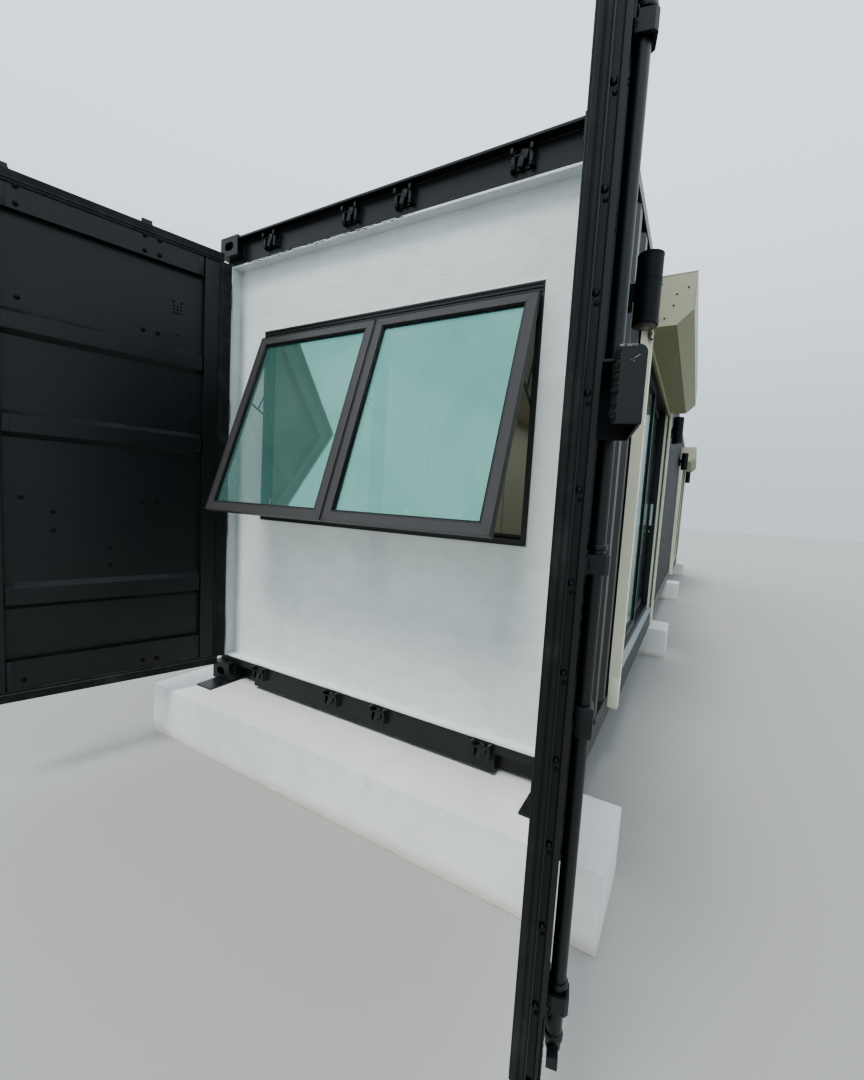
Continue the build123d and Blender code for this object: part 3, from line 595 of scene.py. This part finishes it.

# Grey strip on the top rim: chipped primer and a painted highlight of the edge.
rim_and_scratch = bmesh.new()
rim_low = (box_end - 0.002, box_face + 0.014, box_lid - 0.0035)
rim_high = (box_end + 0.0006, box_slot - 0.002, box_lid + 0.0008)
bar(rim_and_scratch, rim_low, rim_high, 0.0012, leaf)
scratch = leaf @ at(box_end, -0.012, box_lid - 0.020) @ swing(-34, "X")
bar(rim_and_scratch, (-0.0005, -0.008, -0.0008), (0.0008, 0.008, 0.0008), 0.0003, scratch)
bar(rim_and_scratch, (-0.0005, 0.003, -0.0038), (0.0008, 0.008, -0.0024), 0.0003, scratch)
make("lock_box_rim_highlight_and_scratch", rim_and_scratch, primer_flakes_and_highlight(), "right_cargo_door")


# Plastered wall. White render is trowelled over boards in the cargo-door opening and returned round the
# edge, and shows trowel sweeps, fine sand and a greenish-grey bloom low down.
def white_render():
    dull_white = (0.70, 0.745, 0.73, 1)
    bright_white = (0.755, 0.80, 0.785, 1)
    green_bloom = (0.55, 0.62, 0.58, 1)
    finish = Finish("white_render", Specular_IOR_Level=0.3)
    broad = finish.noise(1.3, 5.0, 0.62)
    sweeps = finish.noise(6.0, 5.0, 0.6, (1.0, 1.0, 1.5), 0.8)
    sand = finish.noise(210.0, 3.0, 0.6)
    low = (2.0 - finish.axis("Z")).ramp(0.0, 1.6)
    bloom = broad.ramp(0.40, 0.72) * (0.25 + low * 0.5)
    white = finish.mix(sweeps.ramp(0.3, 0.7), dull_white, bright_white)
    finish.cover(finish.mix(bloom * 0.32, white, green_bloom), 0.78 + sand * 0.15)
    swept = finish.bump(sweeps, 0.0045, 1.0, finish.rounded(0.004))
    finish.bump(sand, 0.0030, 0.9, swept)
    return finish.material


plaster_white = white_render()
dress(plaster_white, "infill_wall")

# Crack under the header. The render has shrunk away from the steel, and leaves a dark ragged line along the
# left half of the joint, with crumbs on its lower lip. The line is a thin near-black strip laid on the face,
# painted shade for the gap.
crack_start = -1.02
crack_step = 0.016
crack_steps = 74
crack_face = 0.050
crack_z = 3.070
crumb_radius = 0.0026
crack = bmesh.new()
crumbs = bmesh.new()
for index in range(crack_steps):
    along = crack_start + index * crack_step
    wander = 0.0022 * sin(index * 1.7) + 0.0016 * sin(index * 0.61 + 1.0)
    depth = 0.0022 + 0.0012 * sin(index * 2.3) + 0.0010 * sin(index * 0.37)
    low = (along, crack_face - 0.0006, crack_z - 0.004 + wander - depth)
    high = (along + crack_step + 0.002, crack_face + 0.002, crack_z - 0.003 + wander)
    bar(crack, low, high, 0.0002)
    if index % 3 == 0:
        spot = at(along, crack_face - 0.001, crack_z - 0.010 + wander)
        lump = bmesh.new()
        bmesh.ops.create_icosphere(lump, subdivisions=1, radius=1.0)
        add_shape(crumbs, lump, spot @ Matrix.Scale(crumb_radius, 4))
# The near-black strip is painted shade for the gap of the crack.
make("header_joint_crack", crack, painted_gap_shade)
make("header_joint_crumbs", crumbs, plaster_white)


# Top-hung window. Powder-coated aluminium bars in dark bronze, mitred at the corners, hold panes of
# green-blue glass. Both sashes stand open on their stays.
def powder_coat(name, colour, roughness=0.38, gloss=0.5, above=None, below=None):
    """Baked paint. It can take one colour on what faces up and one on what faces down, as painted light and
    shade.
    """
    finish = Finish(name, Specular_IOR_Level=gloss)
    grain = finish.noise(700.0, 2.0, 0.5)
    broad = finish.noise(2.5, 4.0, 0.6)
    darker = tuple(channel * 0.8 for channel in colour[:3]) + (1,)
    coat = finish.mix(broad, darker, colour)
    # What faces up can be painted lighter and what faces down darker: painted light and painted shade.
    for tone, low, high in ((above, 0.5, 0.9), (below, -0.3, -0.6)):
        if tone:
            coat = finish.mix(finish.facing("Z").ramp(low, high), coat, tone)
    finish.cover(coat, roughness + broad * 0.08)
    finish.bump(grain, 0.00015, 0.5)
    return finish.material


def tinted_glass():
    deep_green = (0.24, 0.55, 0.48, 1)
    pale_tint_and_reflection = (0.33, 0.64, 0.57, 1)
    finish = Finish("tinted_glass", Alpha=0.46, Metallic=0.74)
    # The film's lighter patches are partly a cloudy film on the glass and partly painted cloud reflection.
    film = finish.noise(1.5, 5.0, 0.6, (1.0, 1.0, 1.0), 0.6)
    finish.cover(finish.mix(film.ramp(0.3, 0.7), deep_green, pale_tint_and_reflection), 0.015 + film * 0.03)
    return finish.material


def brushed_steel():
    dark_steel = (0.55, 0.56, 0.57, 1)
    bright_steel = (0.72, 0.73, 0.74, 1)
    finish = Finish("brushed_pull_steel", Metallic=1.0)
    hairs = finish.noise(60.0, 3.0, 0.6, (9.0, 9.0, 0.3))
    finish.cover(finish.mix(hairs, dark_steel, bright_steel), 0.24 + hairs * 0.16)
    finish.bump(hairs, 0.0001)
    return finish.material


bronze = powder_coat("dark_bronze_bars", (0.062, 0.058, 0.058, 1))
frame_bronze = powder_coat("dark_bronze_frame", (0.030, 0.029, 0.027, 1))
dress(frame_bronze, "window_frame")
dress(bronze, "window_sashes")
dress(tinted_glass(), "window_glass", "fixed_glass", "near_sliding_glass", "far_sliding_glass")


# Sash details. A black gasket beds each pane, the bars are mitred and pinned, and a raised lip runs round the
# outside of each sash. The handle on the bottom bar is plain silver.
def border(mesh, low, high, width, near, far, rounding, placing=Matrix()):
    """Four bars round the edge of an upright oblong, with low and high as its (X, Z) corners."""
    for z in ((low[1], low[1] + width), (high[1] - width, high[1])):
        bar(mesh, (low[0], near, z[0]), (high[0], far, z[1]), rounding, placing)
    for x in ((low[0], low[0] + width), (high[0] - width, high[0])):
        bar(mesh, (x[0], near, low[1]), (x[1], far, high[1]), rounding, placing)


def span(side, near, far):
    """Two places on one side of the middle, the lower first."""
    return sorted((side * near, side * far))


sash_hinge = at(0, 0.09375, 2.590) @ swing(-19.1, "X")
sash_places = {"left": sash_hinge @ mirrored, "right": sash_hinge}
sash_low_x = 0.004
sash_high_x = 0.8965
sash_length = 1.148
sash_bar = 0.052
sash_face = -0.019
sash_edges = ((sash_low_x, 1), (sash_high_x, -1))
sash_ends = ((0.0, -1), (-sash_length, 1))
pane_low = (sash_low_x + sash_bar, sash_bar - sash_length)
pane_high = (sash_high_x - sash_bar, -sash_bar)
lip_gap = 0.004
lip_low = (pane_low[0] - lip_gap, pane_low[1] - lip_gap)
lip_high = (pane_high[0] + lip_gap, pane_high[1] + lip_gap)
arm_columns = (sash_low_x + 0.012, sash_high_x - 0.012)
arm_low = -0.560
arm_high = -0.060
handle_place = at((sash_low_x + sash_high_x) / 2, 0, sash_bar - sash_length)
silver = brushed_steel()
for side, sash in sash_places.items():
    gaskets = bmesh.new()
    border(gaskets, pane_low, pane_high, 0.0075, sash_face + 0.004, -0.003, 0.001, sash)
    border(gaskets, pane_low, pane_high, 0.0060, 0.003, 0.014, 0.001, sash)
    for corner_z, way_z in sash_ends:
        for corner_x, way_x in sash_edges:
            mitre = sash @ at(corner_x, sash_face, corner_z) @ swing(-45 * way_x * way_z, "Y")
            low_x, high_x = span(way_x, 0.006, sash_bar * 1.38)
            bar(gaskets, (low_x, -0.0004, -0.0005), (high_x, 0.0010, 0.0005), 0.0001, mitre)
    make(side + "_sash_gaskets", gaskets, rubber)

    lips = bmesh.new()
    outer = ((sash_low_x, -sash_length), (sash_high_x, 0.0))
    border(lips, *outer, 0.0045, sash_face - 0.003, sash_face + 0.002, 0.001, sash)
    border(lips, lip_low, lip_high, 0.004, sash_face - 0.0015, sash_face + 0.002, 0.0007, sash)
    for arm_x in arm_columns:
        arm = ((arm_x - 0.007, 0.019, arm_low), (arm_x + 0.007, 0.023, arm_high))
        bar(lips, *arm, 0.001, sash)
    make(side + "_sash_lips", lips, bronze)

    handle = bmesh.new()
    grip = sash @ handle_place
    bar(handle, (-0.020, 0.019, -0.042), (0.020, 0.026, -0.008), 0.002, grip)
    round_bar(handle, (0, 0.024, -0.025), (0, 0.040, -0.025), 0.009, 0.002, grip)
    bar(handle, (-0.008, 0.034, -0.034), (0.008, 0.043, 0.058), 0.003, grip)
    make(side + "_sash_handle", handle, silver)


# Window frame details. The head has three drip ribs, the sill a raised weather bar, and a rubber strip lines
# the rebate.
window_half = 0.9145
window_low = 1.445
window_high = 2.652
frame_face = 0.112
rib_half = window_half - 0.004
rib_out = frame_face - 0.005
rib_in = frame_face + 0.004
ribs = bmesh.new()
for drop in (0.010, 0.028, 0.046):
    rib_z = window_high - drop
    bar(ribs, (-rib_half, rib_out, rib_z - 0.003), (rib_half, rib_in, rib_z + 0.003), 0.001)
bar(ribs, (-rib_half, frame_face - 0.006, window_low + 0.002), (rib_half, rib_in, window_low + 0.008), 0.001)
weather_half = window_half - 0.034
weather_low = (-weather_half, frame_face + 0.040, window_low + 0.030)
weather_high = (weather_half, frame_face + 0.046, window_low + 0.052)
bar(ribs, weather_low, weather_high, 0.001)
for side in (-1, 1):
    jamb = span(side, window_half - 0.010, rib_half)
    bar(ribs, (jamb[0], rib_out, window_low + 0.004), (jamb[1], rib_in, window_high - 0.004), 0.001)
    post = span(side, 0.016, 0.022)
    post_out = frame_face - 0.004
    bar(ribs, (post[0], post_out, window_low + 0.034), (post[1], rib_in, window_high - 0.064), 0.001)
make("window_frame_ribs", ribs, frame_bronze)

rebate_low = 1.477
rebate_high = 2.590
linings = bmesh.new()
for low_x, high_x in ((-0.8825, -0.025), (0.025, 0.8825)):
    border(linings, (low_x, rebate_low), (high_x, rebate_high), 0.008, 0.150, 0.158, 0.001)
make("window_rebate_seals", linings, rubber)

# Friction stays and sealant. An arm and a link on a track carry each side of each sash, and white sealant
# closes the joint between the window and the render.
stay_y = 0.134
stays = bmesh.new()
for side in (-1, 1):
    for jamb_x, track_x, sash_x in ((0.8790, 0.8760, 0.8880), (0.0290, 0.0320, 0.0130)):
        track = span(side, jamb_x, track_x)
        bar(stays, (track[0], 0.124, 2.060), (track[1], 0.146, 2.560), 0.0008)
        sash_point = sash_places["right"] @ Vector((sash_x, 0.016, -0.420))
        low_point = Vector((side * jamb_x, stay_y, 2.100))
        high_point = Vector((side * sash_x, sash_point.y, sash_point.z))
        round_bar(stays, low_point, high_point, 0.0060, 0.001, sides=10)
        upper_point = Vector((side * jamb_x, stay_y, 2.330))
        round_bar(stays, upper_point, low_point.lerp(high_point, 0.55), 0.0050, 0.001, sides=10)
make("friction_stays", stays, bronze)

bead_y = 0.1105
sealant = bmesh.new()
for bead_z in (window_low, window_high):
    round_bar(sealant, (-window_half, bead_y, bead_z), (window_half, bead_y, bead_z), 0.0035, 0.001, sides=10)
for bead_x in (-window_half, window_half):
    round_bar(sealant, (bead_x, bead_y, window_low), (bead_x, bead_y, window_high), 0.0030, 0.001, sides=10)
make("window_sealant", sealant, plaster_white)


# Sliding doors. Black powder-coated aluminium frames and leaves hold the same tinted glass, with a long
# brushed pull on each inner leaf.
slider_black = powder_coat("black_slider_bars", (0.022, 0.022, 0.024, 1))
dress(slider_black, "near_slider_frame", "far_slider_frame")
dress(slider_black, "fixed_leaves", "near_sliding_leaf", "far_sliding_leaf")
dress(silver, "near_door_pull", "far_door_pull")


# Sliding door details. Rubber beds each pane. The sill and the head carry a rail for each leaf, a strip seals
# the jambs, and each pull stands on two posts and has a small lock below it.
def leaf_beads(mesh, track_x, low_y, high_y, low_z, high_z, opening):
    """Glazing rubbers on both faces of a leaf's pane."""
    inset = leaf_bar - 0.001
    low = (low_y + inset, low_z + inset)
    high = (high_y - inset, high_z - inset)
    for face in (-1, 1):
        near, far = sorted((-track_x + face * 0.0035, -track_x + face * 0.0175))
        border(mesh, low, high, 0.007, near, far, 0.001, opening)


slider_centres = {"near": 2.314, "far": 9.878}
doorways = {name: at(0, centre, 0) for name, centre in slider_centres.items()}
turned_out = swing(90, "Z")
leaf_bar = 0.060
clear_half = 1.201
sill_z = 0.646
head_z = 2.684
outer_track = 1.190
inner_track = 1.144
track_columns = (outer_track + 0.019, 1.167, inner_track - 0.019)
track_heights = ((sill_z - 0.001, sill_z + 0.004), (head_z - 0.004, head_z + 0.001))
track_half = 0.0015
frame_low = (-1.247, 0.600)
frame_high = (1.247, 2.730)
inner_low = (-1.206, 0.641)
inner_high = (1.206, 2.689)
pull_y = 1.166
pull_z = 1.620
lock_z = 1.440
for name, doorway in doorways.items():
    opening = doorway @ turned_out
    fixed = bmesh.new()
    leaf_beads(fixed, outer_track, -clear_half, 0.050, sill_z, head_z, opening)
    for strip_y in (-clear_half, clear_half - 0.010):
        bar(fixed, (1.164, strip_y, sill_z), (1.170, strip_y + 0.010, head_z), 0.001, doorway)
    make(name + "_fixed_leaf_rubbers", fixed, rubber)

    moving = bmesh.new()
    leaf_beads(moving, inner_track, -0.055, 1.196, sill_z + 0.005, head_z - 0.005, opening)
    make(name + "_sliding_leaf_rubbers", moving, rubber, name + "_sliding_door")

    tracks = bmesh.new()
    for track_x in track_columns:
        for low_z, high_z in track_heights:
            low = (track_x - track_half, -clear_half, low_z)
            bar(tracks, low, (track_x + track_half, clear_half, high_z), 0.0005, doorway)
    border(tracks, frame_low, frame_high, 0.005, -1.2160, -1.2120, 0.001, opening)
    border(tracks, inner_low, inner_high, 0.004, -1.2155, -1.2120, 0.001, opening)
    make(name + "_slider_tracks", tracks, slider_black)

    pull = bmesh.new()
    for rise in (-0.080, 0.080):
        post_z = pull_z + rise
        round_bar(pull, (1.158, pull_y, post_z), (1.166, pull_y, post_z), 0.012, 0.002, doorway)
    round_bar(pull, (1.159, pull_y, lock_z), (1.168, pull_y, lock_z), 0.014, 0.002, doorway)
    round_bar(pull, (1.166, pull_y, lock_z), (1.170, pull_y, lock_z), 0.008, 0.001, doorway)
    make(name + "_pull_posts", pull, silver, name + "_sliding_door")


# Roller shutters. A folded cream box over each doorway holds the rolled curtain, which runs down in a channel
# on each side. A folded blue-grey ledge closes the wall under the door; its top is painted pale blue-grey, a
# painted highlight of the sky.
painted_top_highlight = (0.42, 0.46, 0.47, 1)
painted_underside_shade = (0.23, 0.215, 0.115, 1)
# The cream is painted olive-dark on what faces down: painted shade under the boxes and the curtain bar.
shutter_cream = powder_coat("shutter_cream", (0.44, 0.445, 0.33, 1), 0.42, below=painted_underside_shade)
guide_white = powder_coat("guide_off_white", (0.86, 0.855, 0.68, 1), 0.40)
# The ledge's top is painted pale blue-grey, a painted highlight of the sky it faces.
ledge_grey = powder_coat("ledge_blue_grey", (0.055, 0.063, 0.068, 1), 0.50, 0.25, above=painted_top_highlight)
dress(shutter_cream, "shutter_boxes")
dress(guide_white, "shutter_guides")
dress(ledge_grey, "door_ledges")

# Box details. Folded end caps are screwed on each box, the lid has a seam, and the crank turns in an eye
# under it. Black brushes line the guides.
screw_dark = powder_coat("screw_dark", (0.060, 0.055, 0.050, 1), 0.35)
box_low = 2.704
box_high = 2.982
box_back = 1.215
box_reach = 1.478
box_fold = 0.080
fold_x = box_reach - box_fold
slant = at(fold_x, 0, box_low) @ swing(-45, "Y")
cap_y = 1.304
cap_lap = 0.0015
cap_x = box_reach + cap_lap
cap_back = box_reach - 0.004
cap_edge = 0.0007
cap_screws = ((1.300, 2.740), (1.330, 2.746), (1.372, 2.812), (1.384, 2.872), (1.300, 2.940), (1.440, 2.900))
lid_half = 1.300
seam_z = box_high - 0.030
lid_parts = (
    ((box_reach - 0.001, -lid_half, seam_z), (box_reach + 0.0012, lid_half, seam_z + 0.004), 0.0004),
    ((fold_x - 0.006, -lid_half, box_low - 0.0012), (fold_x - 0.002, lid_half, box_low + 0.001), 0.0004),
    ((1.222, 0.09 - lid_half, box_low - 0.022), (1.252, lid_half - 0.09, box_low + 0.001), 0.002),
)
crank_x = 1.262
eye_z = box_low - 0.028
guide_x = 1.2466
guide_y = 1.219
guide_face = 1.275
guide_screws = (0.700, 1.150, 1.650, 2.150, 2.600)
brush_columns = (guide_x - 0.0072, guide_x + 0.0072)
brush_half = 0.0012
for name, doorway in doorways.items():
    caps = bmesh.new()
    for side in (-1, 1):
        low_y, high_y = span(side, cap_y - 0.006, cap_y + cap_lap)
        bar(caps, (cap_back, low_y, box_low + box_fold), (cap_x, high_y, box_high), cap_edge, doorway)
        bar(caps, (box_back, low_y, box_high - 0.004), (cap_x, high_y, box_high + cap_lap), cap_edge, doorway)
        bar(caps, (box_back, low_y, box_low - cap_lap), (fold_x, high_y, box_low + 0.004), cap_edge, doorway)
        bar(caps, (0, low_y, -cap_lap), (box_fold * 1.414, high_y, 0.004), cap_edge, doorway @ slant)
    for low, high, rounding in lid_parts:
        bar(caps, low, high, rounding, doorway)
    make(name + "_shutter_caps", caps, shutter_cream)

    screws = bmesh.new()
    for side in (-1, 1):
        for across, up in cap_screws:
            rivet(screws, (across, side * (cap_y + 0.0005), up), (0, side, 0), 0.0052, doorway)
        eye = [(crank_x, side * y, eye_z) for y in (cap_y + 0.001, cap_y - 0.020)]
        round_bar(screws, *eye, 0.012, 0.002, doorway)
        crank_y = side * (cap_y - 0.008)
        crank = [(crank_x, crank_y, z) for z in (box_low + 0.002, box_low - 0.060)]
        round_bar(screws, *crank, 0.0055, 0.001, doorway)
        crook = ((crank_x, crank_y, box_low - 0.056), (1.280, crank_y, box_low - 0.066))
        round_bar(screws, *crook, 0.0050, 0.001, doorway)
    for side in (-1, 1):
        low_y, high_y = span(side, guide_y + 0.002, guide_y + 0.012)
        for brush_x in brush_columns:
            low = (brush_x - brush_half, low_y, 0.606)
            bar(screws, low, (brush_x + brush_half, high_y, 2.698), 0.0004, doorway)
        for screw_z in guide_screws:
            rivet(screws, (guide_face, side * (guide_y + 0.034), screw_z), (1, 0, 0), 0.0045, doorway)
    make(name + "_shutter_screws", screws, screw_dark)

# Curtain, guide feet and ledge edges. The curtain's bottom bar shows under its box, each guide runs down over
# the ledge's end on a foot, and the ledge has a folded lip and four drain slots.
bar_half = 1.262
bar_lip_half = 1.216
bar_foot = box_low - 0.034
foot_low = 0.4085
foot_high = 0.6040
foot_screws = (0.450, 0.560)
ledge_half = 1.284
ledge_x = 1.2600
drain_places = (-0.9, -0.3, 0.3, 0.9)
drain_half = 0.018
for name, doorway in doorways.items():
    curtain = bmesh.new()
    bar(curtain, (1.2405, -bar_half, bar_foot), (1.2525, bar_half, box_low - 0.004), 0.003, doorway)
    bar(curtain, (1.2380, -bar_lip_half, box_low - 0.040), (1.2550, bar_lip_half, bar_foot), 0.002, doorway)
    make(name + "_curtain_bar", curtain, shutter_cream)

    feet = bmesh.new()
    for side in (-1, 1):
        low_y, high_y = span(side, 1.2185, 1.2850)
        bar(feet, (1.2145, low_y, foot_low), (1.2755, high_y, foot_high), 0.001, doorway)
        for screw_z in foot_screws:
            rivet(feet, (1.2752, side * 1.252, screw_z), (1, 0, 0), 0.0045, doorway)
    make(name + "_guide_feet", feet, guide_white)

    ledge = bmesh.new()
    bar(ledge, (1.254, -ledge_half, 0.590), (ledge_x, ledge_half, 0.5995), 0.001, doorway)
    bar(ledge, (1.217, -ledge_half, 0.5975), (ledge_x, -1.280, 0.6005), 0.001, doorway)
    for drain_y in drain_places:
        drain = ((1.2575, drain_y - drain_half, 0.560), (1.2590, drain_y + drain_half, 0.566))
        bar(ledge, *drain, 0.0004, doorway)
    make(name + "_ledge_edges", ledge, ledge_grey)


# Wall lights. Each is a black powder-coated tube on a bracket, made to shine up and down the wall. Its lenses
# are frosted glass, sunk in the ends.
def lamp_lens():
    dim_lens = (0.022, 0.019, 0.011, 1)
    pale_lens = (0.050, 0.045, 0.028, 1)
    finish = Finish("lamp_lens", Specular_IOR_Level=0.4, Coat_Weight=0.3, Coat_Roughness=0.1)
    frost = finish.noise(60.0, 3.0, 0.6)
    finish.cover(finish.mix(frost, dim_lens, pale_lens), 0.25 + frost * 0.2)
    return finish.material


light_black = powder_coat("light_black", (0.0045, 0.0060, 0.0078, 1), 0.45, 0.28)
dress(light_black, "wall_lights")

# Wall light details. The tube is two castings that meet in a groove, with a ring at each end that holds a
# lens by three screws. Four screws fix the back plate, and a gland takes the cable in behind.
light_places = (0.345, 4.283, 7.909, 11.847)
light_x = 1.310
light_radius = 0.055
light_low = 2.480
light_high = 2.783
light_rings = (
    (light_low - 0.001, light_low + 0.009, 0.0007),
    (light_high - 0.009, light_high + 0.001, 0.0007),
    (light_low + 0.183, light_low + 0.187, 0.0010),
    (light_low + 0.194, light_low + 0.198, 0.0010),
)
plate_face = 1.231
plate_screws = (2.681, 2.581)
gland_x = 1.240
lens_radius = 0.045
lens_screw_radius = 0.0505
rings = bmesh.new()
lenses = bmesh.new()
for light_y in light_places:
    spot = at(light_x, light_y, 0)
    for ring_low, ring_high, swell in light_rings:
        round_bar(rings, (0, 0, ring_low), (0, 0, ring_high), light_radius + swell, 0.0008, spot, 48)
    for side in (-1, 1):
        for screw_z in plate_screws:
            rivet(rings, (plate_face, light_y + side * 0.024, screw_z), (1, 0, 0), 0.0045)
    round_bar(rings, (gland_x, light_y, 2.590), (gland_x, light_y, 2.548), 0.010, 0.002)
    for lens_z, out in ((light_low - 0.001, -1), (light_high + 0.001, 1)):
        lens = ((0, 0, lens_z - out * 0.004), (0, 0, lens_z + out * 0.0012))
        round_bar(lenses, *lens, lens_radius, 0.0008, spot, 40)
        for turn in range(3):
            angle = radians(120 * turn + 20)
            seat = (lens_screw_radius * cos(angle), lens_screw_radius * sin(angle), lens_z)
            rivet(lenses, seat, (0, 0, out), 0.0028, spot)
make("wall_light_rings", rings, light_black)
make("wall_light_lenses", lenses, lamp_lens())


# Inside. Boards painted a pale green-white line the walls and the ceiling, and the container's own plywood
# floor is sanded and varnished.
def painted_board():
    shaded_paint = (0.68, 0.70, 0.62, 1)
    clean_paint = (0.74, 0.76, 0.68, 1)
    finish = Finish("painted_board", Specular_IOR_Level=0.3)
    broad = finish.noise(1.1, 4.0, 0.6)
    roller = finish.noise(180.0, 2.0, 0.5)
    finish.cover(finish.mix(broad, shaded_paint, clean_paint), 0.6 + broad * 0.15)
    finish.bump(roller, 0.0004)
    return finish.material


def plywood():
    dark_grain = (0.13, 0.065, 0.030, 1)
    light_grain = (0.34, 0.19, 0.095, 1)
    finish = Finish("varnished_plywood", Coat_Weight=0.3, Coat_Roughness=0.25)
    grain = finish.noise(9.0, 6.0, 0.62, (6.0, 0.35, 1.0), 0.8)
    figure = finish.noise(2.4, 3.0, 0.5, (1.0, 0.25, 1.0), 1.5)
    finish.cover(finish.mix(grain * 0.6 + figure * 0.4, dark_grain, light_grain), 0.35 + grain * 0.25)
    finish.bump(grain, 0.0008)
    return finish.material


board_paint = painted_board()
dress(board_paint, "left_lining", "right_lining", "back_lining", "doorway_head_lining", "ceiling_lining")
dress(plywood(), "floor_deck")

# Lining strips. Thin cover strips hide the joints between boards on the walls and the ceiling, and a skirting
# runs round the floor.
wall_face = 1.115
strip_low = 0.490
strip_high = 3.025
strip_half = 0.020
strip_depth = 0.004
board_start = 0.178
board_length = 1.220
joints = [board_start + index * board_length for index in range(1, 10)]
doorway_half = 1.300
skirting_top = strip_low + 0.080
skirting_depth = 0.010
room_start = 0.182
room_end = 12.000
strips = bmesh.new()
for side in (-1, 1):
    inside = span(side, wall_face, wall_face - strip_depth)
    for joint_y in joints:
        behind_doorway = any(abs(joint_y - centre) < doorway_half for centre in slider_centres.values())
        if side < 0 or not behind_doorway:
            low = (inside[0], joint_y - strip_half, strip_low)
            bar(strips, low, (inside[1], joint_y + strip_half, strip_high), 0.001)
bar(strips, (-wall_face, room_start, strip_low), (-wall_face + skirting_depth, room_end, skirting_top), 0.002)
for low_y, high_y in ((room_start, 1.065), (3.563, 8.629), (11.127, room_end)):
    bar(strips, (wall_face - skirting_depth, low_y, strip_low), (wall_face, high_y, skirting_top), 0.002)
for joint_y in joints:
    low = (-wall_face + 0.001, joint_y - strip_half, strip_high + 0.001)
    bar(strips, low, (wall_face - 0.001, joint_y + strip_half, strip_high + 0.006), 0.001)
make("lining_strips", strips, board_paint)


# The studio: a pale floor, an even sky that brightens overhead, one broad key light, a soft lamp under the
# ceiling inside, and the photograph's camera.
floor_half = 60.0
floor_mesh = bmesh.new()
bmesh.ops.create_grid(floor_mesh, x_segments=1, y_segments=1, size=floor_half)
floor_data = bpy.data.meshes.new("studio_floor")
floor_mesh.to_mesh(floor_data)
floor_mesh.free()
floor_grey = (0.36, 0.36, 0.345, 1)
floor_finish = Finish("studio_floor_grey", Base_Color=floor_grey, Roughness=0.9, Specular_IOR_Level=0.2)
floor_data.materials.append(floor_finish.material)
studio_floor = stand("studio_floor", floor_data)

horizon = (0.64, 0.72, 0.79, 1)
overhead = (1.06, 1.19, 1.29, 1)
world = bpy.data.worlds.new("soft_sky")
bpy.context.scene.world = world
world.use_nodes = True
tree = world.node_tree
sky = tree.nodes["Background"]
sky.inputs["Strength"].default_value = 1.0
direction = tree.nodes.new("ShaderNodeTexCoord")
split = tree.nodes.new("ShaderNodeSeparateXYZ")
fade = tree.nodes.new("ShaderNodeValToRGB")
fade.color_ramp.interpolation = "EASE"
for element, position, colour in zip(fade.color_ramp.elements, (0.0, 0.6), (horizon, overhead)):
    element.position = position
    element.color = colour
tree.links.new(direction.outputs["Generated"], split.inputs[0])
tree.links.new(split.outputs["Z"], fade.inputs["Fac"])
tree.links.new(fade.outputs["Color"], sky.inputs["Color"])
bpy.context.scene.view_settings.look = "AgX - Medium High Contrast"

key = bpy.data.lights.new("key_sun", "SUN")
key.energy = 2.2
key.angle = radians(20)
key.color = (1.0, 0.98, 0.94)
key_object = stand("key_sun", key)
key_object.rotation_euler = (radians(26), radians(-14), radians(20))
key_object.visible_glossy = False

room = bpy.data.lights.new("room_glow", "AREA")
room.shape = "RECTANGLE"
room.size = 1.8
room.size_y = 11.0
room.energy = 19.0
room.color = (0.92, 1.0, 0.91)
room_object = stand("room_glow", room)
room_object.location = (0.0, 6.1, 2.98)
room_object.visible_camera = False
room_object.visible_glossy = False

eye = Vector((1.592, -1.985, 1.639))
yaw, pitch, roll = radians(29.54), radians(4.93), radians(3.36)
ahead = Vector((-sin(yaw) * cos(pitch), cos(yaw) * cos(pitch), -sin(pitch)))
level_right = Vector((cos(yaw), sin(yaw), 0.0))
level_up = level_right.cross(ahead)
camera_right = cos(roll) * level_right + sin(roll) * level_up
camera_up = cos(roll) * level_up - sin(roll) * level_right
camera = bpy.data.cameras.new("photo_camera")
camera.lens = 15.37
camera.sensor_width = 36.0
camera.clip_start = 0.02
camera.clip_end = 300.0
camera_object = stand("photo_camera", camera)
aim = Matrix((camera_right, camera_up, -ahead)).transposed()
camera_object.matrix_world = at(*eye) @ aim.to_4x4()
bpy.context.scene.camera = camera_object
